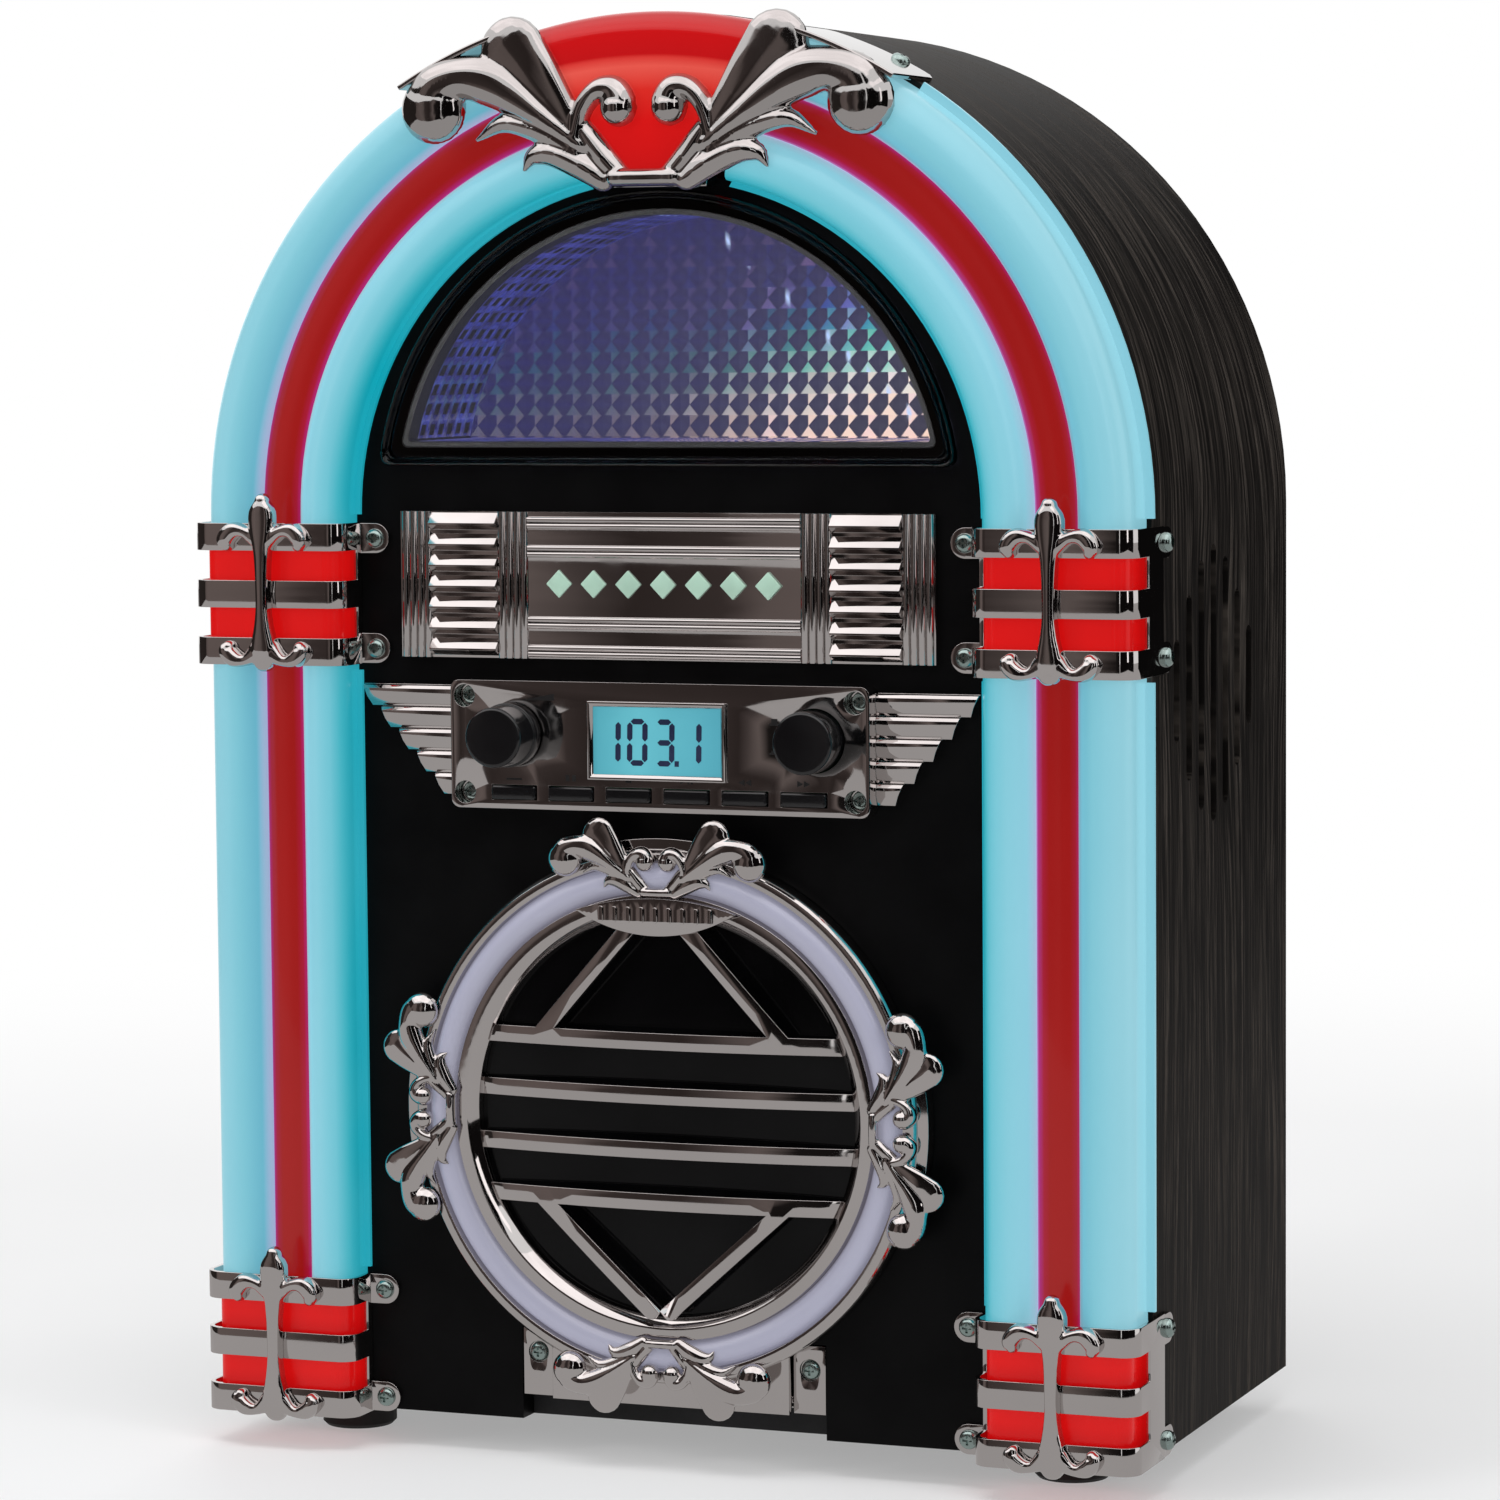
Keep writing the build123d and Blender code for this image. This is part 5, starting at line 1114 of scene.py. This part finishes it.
class JUKEBOX_OT_case(PieceOperator, bpy.types.Operator):
    """Finish the wooden case, its base, back and feet"""
    bl_idname = "jukebox.case"
    bl_label = "Case"

    def execute(self, context):
        dress("cabinet_shell", "black_ash")
        dress("front_baffle", "black_front")
        dress("base_board rear_panel", "black_board")
        dress("feet", "rubber")
        dress("mains_inlet aux_socket", "black_plastic")
        return {"FINISHED"}


class JUKEBOX_OT_tubes(PieceOperator, bpy.types.Operator):
    """Finish the light tubes, their red strips, the collars and the lamps behind them"""
    bl_idname = "jukebox.tubes"
    bl_label = "Light tubes"

    def execute(self, context):
        dress("arch_diffusers pillar_diffusers", "tube_glow")
        dress("tube_strips", "red_strip")
        dress("clamp_collars", "red_collar")
        dress("led_strips", "lamp_strip")
        return {"FINISHED"}


class JUKEBOX_OT_plating(PieceOperator, bpy.types.Operator):
    """Round the corners of the plated mouldings and give them their chrome"""
    bl_idname = "jukebox.plating"
    bl_label = "Plated mouldings"

    def execute(self, context):
        body_of = {}
        for body, members in frame["record"]["behaviour"]["bodies"].items():
            for member in members:
                body_of[member] = body
        for node in CHROME_NODES:
            mesh = refined(node, self.settings.edge_round)
            add_piece(node + "_plated", mesh, "chrome", body_of[node], node)
        return {"FINISHED"}


class JUKEBOX_OT_lilies(PieceOperator, bpy.types.Operator):
    """Build the four lily ornaments on the clamps"""
    bl_idname = "jukebox.lilies"
    bl_label = "Lily ornaments"

    def execute(self, context):
        shapes = [leaf(LILY_STEM, LILY_BACK, bow=3.6, count=48)]
        for rows in LILY_CURLS:
            right = leaf(rows, LILY_BACK, bow=3.2)
            shapes += [right, mirrored(right)]
        parts = []
        for bottom in CLAMP_BOTTOMS:
            for side in (-1, 1):
                place = Matrix.Translation((side * LILY_X, 0, (bottom + LILY_ABOVE_CLAMP) * MM))
                parts += [moved(shape, place) for shape in shapes]
        mesh = fused(outward(mesh_from(parts)), 0.42, 3)
        add_piece("lily_ornaments", mesh, "chrome", "cabinet", "clamp_fleurs", smooth=80)
        return {"FINISHED"}


class JUKEBOX_OT_crown(PieceOperator, bpy.types.Operator):
    """Build the scrolled crown and finish the red lens behind it"""
    bl_idname = "jukebox.crown"
    bl_label = "Crown"

    def execute(self, context):
        lift = Matrix.Translation((0, 0, CROWN_Z))
        parts = [moved(part, lift) for part in scroll_parts(1.0, CROWN_BACK, 1.24, 1.0)]
        mesh = fused(outward(mesh_from(parts)), 0.5, 4)
        # The crown's scrolls and fixings take the darker copy of the plating: painted shade.
        add_piece("crown_scrolls", mesh, "shaded_chrome", "cabinet", "crown_ornament", smooth=80)
        extra = [bar(-18.5, 18.5, -9.0, 0.0, 405.0, 410.0), bar(-10.9, 10.9, -14.5, -8.0, 405.6, 410.2)]
        for start, end in ((-31.5, -17.5), (17.5, 31.5)):
            extra.append(arc_plate(start, end, -17.0, 23.5, 157.0, 158.6))
        fixings = outward(mesh_from(extra))
        piece = add_piece("crown_fixings", fixings, "shaded_chrome", "cabinet", smooth=35)
        rounding = piece.modifiers.new("round", "BEVEL")
        rounding.width = 0.0004
        rounding.segments = 2
        rounding.limit_method = "ANGLE"
        dress("crown_lens", "crown_lens")
        return {"FINISHED"}


class JUKEBOX_OT_dome(PieceOperator, bpy.types.Operator):
    """Build the prismatic foil and finish the clear dome window"""
    bl_idname = "jukebox.dome"
    bl_label = "Dome window"

    def execute(self, context):
        s = self.settings
        sheets = {
            "dome_foil": (foil_back(s.foil_pitch), "prism_foil"),
            "dome_foil_wall": (foil_wall(s.foil_pitch), "prism_foil_side"),
        }
        for name, (sheet, look) in sheets.items():
            tree, depth, tip = foil_tree(material(look))
            piece = linked(name, applied(sheet, tree, {depth: s.foil_depth, tip: FOIL_TIP}))
            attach(piece, "cabinet")
        dress("dome_reflector", "black_plastic")
        dress("dome_lens", "clear_lens")
        rows = [[(x, y, z) for x, z in dome_outline(inset, 90, 5.0 - inset * 0.6)]
                for inset, y in DOME_BEZEL_SECTION]
        mesh = outward(mesh_from([swept(rows)]))
        add_piece("dome_bezel_clear", mesh, "clear_bezel", "cabinet", "dome_bezel", smooth=50)
        return {"FINISHED"}


class JUKEBOX_OT_inlays(PieceOperator, bpy.types.Operator):
    """Build the raised pale inlays on the name panel"""
    bl_idname = "jukebox.inlays"
    bl_label = "Panel inlays"

    def execute(self, context):
        mesh = refined("name_inlays", 0.0003)
        add_piece("panel_inlays", mesh, "pale_enamel", "cabinet", "name_inlays")
        return {"FINISHED"}


class JUKEBOX_OT_radio(PieceOperator, bpy.types.Operator):
    """Build the display's digits and the marks, and finish the knobs and keys"""
    bl_idname = "jukebox.radio"
    bl_label = "Radio controls"

    def execute(self, context):
        s = self.settings
        dress("display_module", "display_light")
        digits = segment_parts(s.display_text, -19.6, 224.4, 6.9, 14.8, 1.75, -8.0, -7.8, 0.02)
        add_piece("display_digits", outward(mesh_from(digits)), "navy_ink", "cabinet")
        marks = self.marks()
        add_piece("panel_marks", outward(mesh_from(marks)), "black_ink", "cabinet")
        mesh = refined("volume_knob", 0.0004)
        add_piece("volume_knob_turned", mesh, "black_gloss", "volume_control", "volume_knob")
        mesh = refined("light_button", 0.0004)
        add_piece("light_button_cap", mesh, "black_gloss", "light_control", "light_button")
        dress("volume_shaft", "galvanised")
        for number in range(1, s.key_count + 1):
            node = f"key_button_{number}"
            add_piece(f"key_{number}_cap", refined(node, 0.0003), "black_gloss", f"key_{number}", node)
        return {"FINISHED"}

    def marks(self):
        """A rising wedge for the volume and plain symbols over the keys."""
        outlines = [[(-46.0, 244.4), (-35.0, 244.4), (-35.0, 246.6)]]
        power, program, stop, play, previous, following = [(n - 2.5) * KEY_PITCH for n in range(6)]
        low, high = KEY_MARK_Z, KEY_MARK_Z + KEY_MARK_SIZE
        middle = KEY_MARK_Z + KEY_MARK_SIZE / 2
        outlines.append(square(power - 2.6, power + 2.6, low, low + 0.6))
        for shift in (-1.8, 0.4):
            outlines.append(square(program + shift, program + shift + 1.2, low, high))
        outlines.append(square(stop - 1, stop + 1, low, high))
        outlines.append([(play - 2, low), (play, middle), (play - 2, high)])
        for shift in (0.4, 1.5):
            outlines.append(square(play + shift, play + shift + 0.6, low, high))
        for x, way in ((previous, -1), (following, 1)):
            for shift in (-1.1, 1.1):
                outlines.append([(x + shift - way, low), (x + shift + way, middle), (x + shift - way, high)])
        for z, tall in ((238.0, 1.6), (229.0, 0.7)):
            outlines.append(square(37.6, 41.2, z, z + 0.5))
            outlines.append(square(38.4, 40.4, z + 0.5, z + 0.5 + tall))
        return [prism(outline, *PANEL_MARK_DEPTHS) for outline in outlines]


class JUKEBOX_OT_door(PieceOperator, bpy.types.Operator):
    """Build the door's four ornaments and finish its lit ring and window"""
    bl_idname = "jukebox.door"
    bl_label = "Door"

    def execute(self, context):
        parts = []
        lift = Matrix.Translation((0, 0, DOOR_SCROLL_RADIUS * MM))
        scrolls = scroll_parts(DOOR_SCROLL_SCALE, DOOR_SCROLL_BACK, 1.5, 1.25)
        one = [moved(part, lift) for part in scrolls]
        z = math.sqrt(DOOR_PIN_RADIUS ** 2 - DOOR_PIN_X ** 2)
        for x in (-DOOR_PIN_X, DOOR_PIN_X):
            one.append(bar(x - 1.2, x + 1.2, -10.4, -8.4, z - 1.2, z + 1.2))
        centre = Matrix.Translation((0, 0, DOOR_Z))
        for quarter in range(4):
            turn = centre @ Matrix.Rotation(math.pi / 2 * quarter, 4, "Y")
            parts += [moved(part, turn) for part in one]
        mesh = fused(outward(mesh_from(parts)), 0.32, 2)
        add_piece("door_scrolls", mesh, "chrome", "door", "door_ornaments", smooth=80)
        dress("door_light_ring", "ring_glow")
        dress("door_window", "smoke_window")
        return {"FINISHED"}


class JUKEBOX_OT_fixings(PieceOperator, bpy.types.Operator):
    """Finish the screws"""
    bl_idname = "jukebox.fixings"
    bl_label = "Screws"

    def execute(self, context):
        dress("trim_screws case_screws", "zinc")
        return {"FINISHED"}


class JUKEBOX_OT_inside(PieceOperator, bpy.types.Operator):
    """Finish the disc player, the speakers and the boards inside"""
    bl_idname = "jukebox.inside"
    bl_label = "Inside"

    def execute(self, context):
        dress("disc_well disc_hub laser_sled catch_housing", "black_plastic")
        dress("catch_plunger sled_gear", "white_nylon")
        dress("deck_chassis sled_rails spindle_motor sled_motor speaker_baskets transformer", "galvanised")
        dress("control_board main_board", "circuit_green")
        dress("speaker_magnets", "ferrite")
        dress("speaker_cones", "paper_cone")
        dress("speaker_cloths", "speaker_cloth")
        return {"FINISHED"}


# Stage: lamps as (name, place, target, width, height, watts), in metres

FLOOR_RADIUS = 14.0
LAMPS = (
    ("lamp_left", (-1.3, -1.5, 0.75), (0.0, -0.05, 0.25), 0.55, 1.3, 11.0),
    ("lamp_right", (1.9, -0.9, 0.9), (0.0, -0.05, 0.25), 0.5, 1.1, 8.0),
    ("lamp_top", (0.0, -0.5, 1.9), (0.0, 0.0, 0.25), 1.4, 0.8, 14.0),
    ("lamp_back", (-0.6, 1.5, 1.2), (0.0, 0.0, 0.25), 1.0, 0.6, 8.0),
)


def upright(start, end, bottom, top):
    """Corners of an upright card over a line on the floor."""
    return ((*start, bottom), (*end, bottom), (*end, top), (*start, top))


# Cards as (name, corners, colour, strength); only plated metal and glass see them

SHADED_CARD = "flag_left"
SHADED_CARD_X = (-1.15, 0.20)
SHADED_CARD_STOPS = (
    (0.00, colour(96, 86, 83)), (0.38, colour(112, 101, 98)), (0.46, colour(104, 94, 91)),
    (0.52, colour(64, 56, 54)), (0.66, colour(52, 45, 43)), (0.72, colour(78, 70, 68)),
    (0.80, colour(110, 100, 97)), (0.86, colour(30, 27, 26)), (1.00, colour(22, 19, 19)),
)
CARDS = (
    ("flag_right", upright((0.27, -1.05), (1.35, -1.0), 0.0, 0.95), colour(16, 14, 14), 1.0),
    ("flag_side_left", upright((-1.15, 0.5), (-1.15, -1.0), 0.0, 0.80), colour(48, 43, 41), 1.0),
    ("flag_side_right", upright((1.35, -1.0), (1.35, -0.1), 0.0, 0.95), colour(18, 16, 16), 1.0),
    ("flag_back", upright((1.9, 1.2), (0.05, 1.2), 0.0, 1.2), colour(14, 13, 13), 1.0),
    ("softbox_top", ((-1.6, -1.5, 1.35), (0.9, -1.5, 1.35), (0.9, 0.1, 1.35), (-1.6, 0.1, 1.35)),
     colour(255, 250, 250), 1.7),
    ("softbox_right", upright((1.02, -0.86), (1.14, -0.74), 0.3, 1.1), colour(255, 250, 250), 1.7),
)

# Camera, fitted to the photograph; its place has y from the baffle's front

CAMERA_AZIMUTH = math.radians(21.2)
CAMERA_ELEVATION = math.radians(4.72)
CAMERA_ROLL = math.radians(-0.46)
CAMERA_LENS = 125.8
CAMERA_PLACE = Vector((0.6191, -1.52405 + BAFFLE_Y, 0.3645))


class JUKEBOX_OT_stage(PieceOperator, bpy.types.Operator):
    """Set the floor, the lamps, the reflected cards, the world and the camera"""
    bl_idname = "jukebox.stage"
    bl_label = "Stage"

    def execute(self, context):
        mesh = bpy.data.meshes.new("floor")
        count = 64
        angles = [2 * math.pi * i / count for i in range(count)]
        ring = [(FLOOR_RADIUS * math.cos(a), FLOOR_RADIUS * math.sin(a), 0.0) for a in angles]
        mesh.from_pydata(ring, [], [tuple(range(count))])
        mesh.materials.append(floor_surface())
        linked("floor", mesh)
        for lamp in LAMPS:
            self.lamp(*lamp)
        left, right = SHADED_CARD_X
        corners = upright((left, -1.0), (right, -1.0), 0.0, 0.80)
        self.card(SHADED_CARD, corners, shaded_card_surface())
        for name, corners, shade, strength in CARDS:
            self.card(name, corners, card_surface(name, shade, strength))
        self.world()
        self.camera(context)
        return {"FINISHED"}

    def lamp(self, name, place, target, width, height, power):
        """Soft rectangular lamp that lights, and that plated metal doesn't mirror."""
        data = bpy.data.lights.new(name, "AREA")
        data.shape = "RECTANGLE"
        data.size = width
        data.size_y = height
        data.energy = power
        lamp = linked(name, data)
        lamp.location = place
        lamp.rotation_euler = (Vector(target) - Vector(place)).to_track_quat("-Z", "Y").to_euler()
        lamp.visible_glossy = False

    def card(self, name, corners, finish):
        """Studio flag or softbox that the camera and the lamps don't see."""
        mesh = bpy.data.meshes.new(name)
        mesh.from_pydata(corners, [], [(0, 1, 2, 3)])
        mesh.materials.append(finish)
        card = linked(name, mesh)
        card.visible_camera = False
        card.visible_diffuse = False
        card.visible_shadow = False
        card.visible_transmission = False

    def world(self):
        """Even light, with a white background for the camera, plated metal and glass."""
        world = bpy.data.worlds.new("studio")
        world.use_nodes = True
        nodes = world.node_tree.nodes
        links = world.node_tree.links
        ambient = nodes["Background"]
        ambient.inputs[0].default_value = (1, 1, 1, 1)
        ambient.inputs[1].default_value = 0.45
        backdrop = nodes.new("ShaderNodeBackground")
        backdrop.inputs[0].default_value = (1, 1, 1, 1)
        backdrop.inputs[1].default_value = 1.0
        path = nodes.new("ShaderNodeLightPath")
        seen = nodes.new("ShaderNodeMath")
        seen.operation = "ADD"
        seen.use_clamp = True
        also = nodes.new("ShaderNodeMath")
        also.operation = "ADD"
        also.use_clamp = True
        links.new(path.outputs["Is Camera Ray"], seen.inputs[0])
        links.new(path.outputs["Is Glossy Ray"], seen.inputs[1])
        links.new(seen.outputs[0], also.inputs[0])
        links.new(path.outputs["Is Transmission Ray"], also.inputs[1])
        mixed = nodes.new("ShaderNodeMixShader")
        links.new(also.outputs[0], mixed.inputs[0])
        links.new(ambient.outputs[0], mixed.inputs[1])
        links.new(backdrop.outputs[0], mixed.inputs[2])
        links.new(mixed.outputs[0], nodes["World Output"].inputs["Surface"])
        bpy.context.scene.world = world
        bpy.context.scene.view_settings.view_transform = "Standard"

    def camera(self, context):
        across = math.cos(CAMERA_ELEVATION)
        back = Vector((math.sin(CAMERA_AZIMUTH) * across, -math.cos(CAMERA_AZIMUTH) * across,
                       math.sin(CAMERA_ELEVATION)))
        right = Vector((math.cos(CAMERA_AZIMUTH), math.sin(CAMERA_AZIMUTH), 0))
        up = back.cross(right)
        level = right * math.cos(CAMERA_ROLL) + up * math.sin(CAMERA_ROLL)
        rise = -right * math.sin(CAMERA_ROLL) + up * math.cos(CAMERA_ROLL)
        data = bpy.data.cameras.new("camera")
        data.sensor_width = 36.0
        data.lens = CAMERA_LENS
        data.clip_start = 0.05
        data.clip_end = 60.0
        camera = linked("camera", data)
        rows = Matrix((level, rise, back)).transposed().to_4x4()
        camera.matrix_world = Matrix.Translation(CAMERA_PLACE) @ rows
        context.scene.camera = camera


class JUKEBOX_PT_panel(bpy.types.Panel):
    """Lists the builders of the jukebox's pieces"""
    bl_idname = "JUKEBOX_PT_panel"
    bl_label = "Tabletop jukebox"
    bl_space_type = "VIEW_3D"
    bl_region_type = "UI"
    bl_category = "Jukebox"

    def draw(self, context):
        for name in JukeboxSettings.__annotations__:
            self.layout.prop(context.scene.jukebox, name)
        for operator in OPERATORS:
            self.layout.operator(operator.bl_idname)


OPERATORS = (
    JUKEBOX_OT_stage, JUKEBOX_OT_case, JUKEBOX_OT_tubes, JUKEBOX_OT_plating, JUKEBOX_OT_lilies,
    JUKEBOX_OT_crown, JUKEBOX_OT_dome, JUKEBOX_OT_inlays, JUKEBOX_OT_radio, JUKEBOX_OT_door,
    JUKEBOX_OT_fixings, JUKEBOX_OT_inside,
)
CLASSES = (JukeboxSettings,) + OPERATORS + (JUKEBOX_PT_panel,)


def register():
    for item in CLASSES:
        bpy.utils.register_class(item)
    bpy.types.Scene.jukebox = PointerProperty(type=JukeboxSettings)


def unregister():
    del bpy.types.Scene.jukebox
    for item in reversed(CLASSES):
        bpy.utils.unregister_class(item)


def main():
    register()
    build_materials(bpy.context.scene.jukebox)
    for operator in OPERATORS:
        group, name = operator.bl_idname.split(".")
        result = getattr(getattr(bpy.ops, group), name)()
        if "FINISHED" not in result:
            raise RuntimeError("not finished: " + operator.bl_label)


if __name__ == "__main__":
    main()
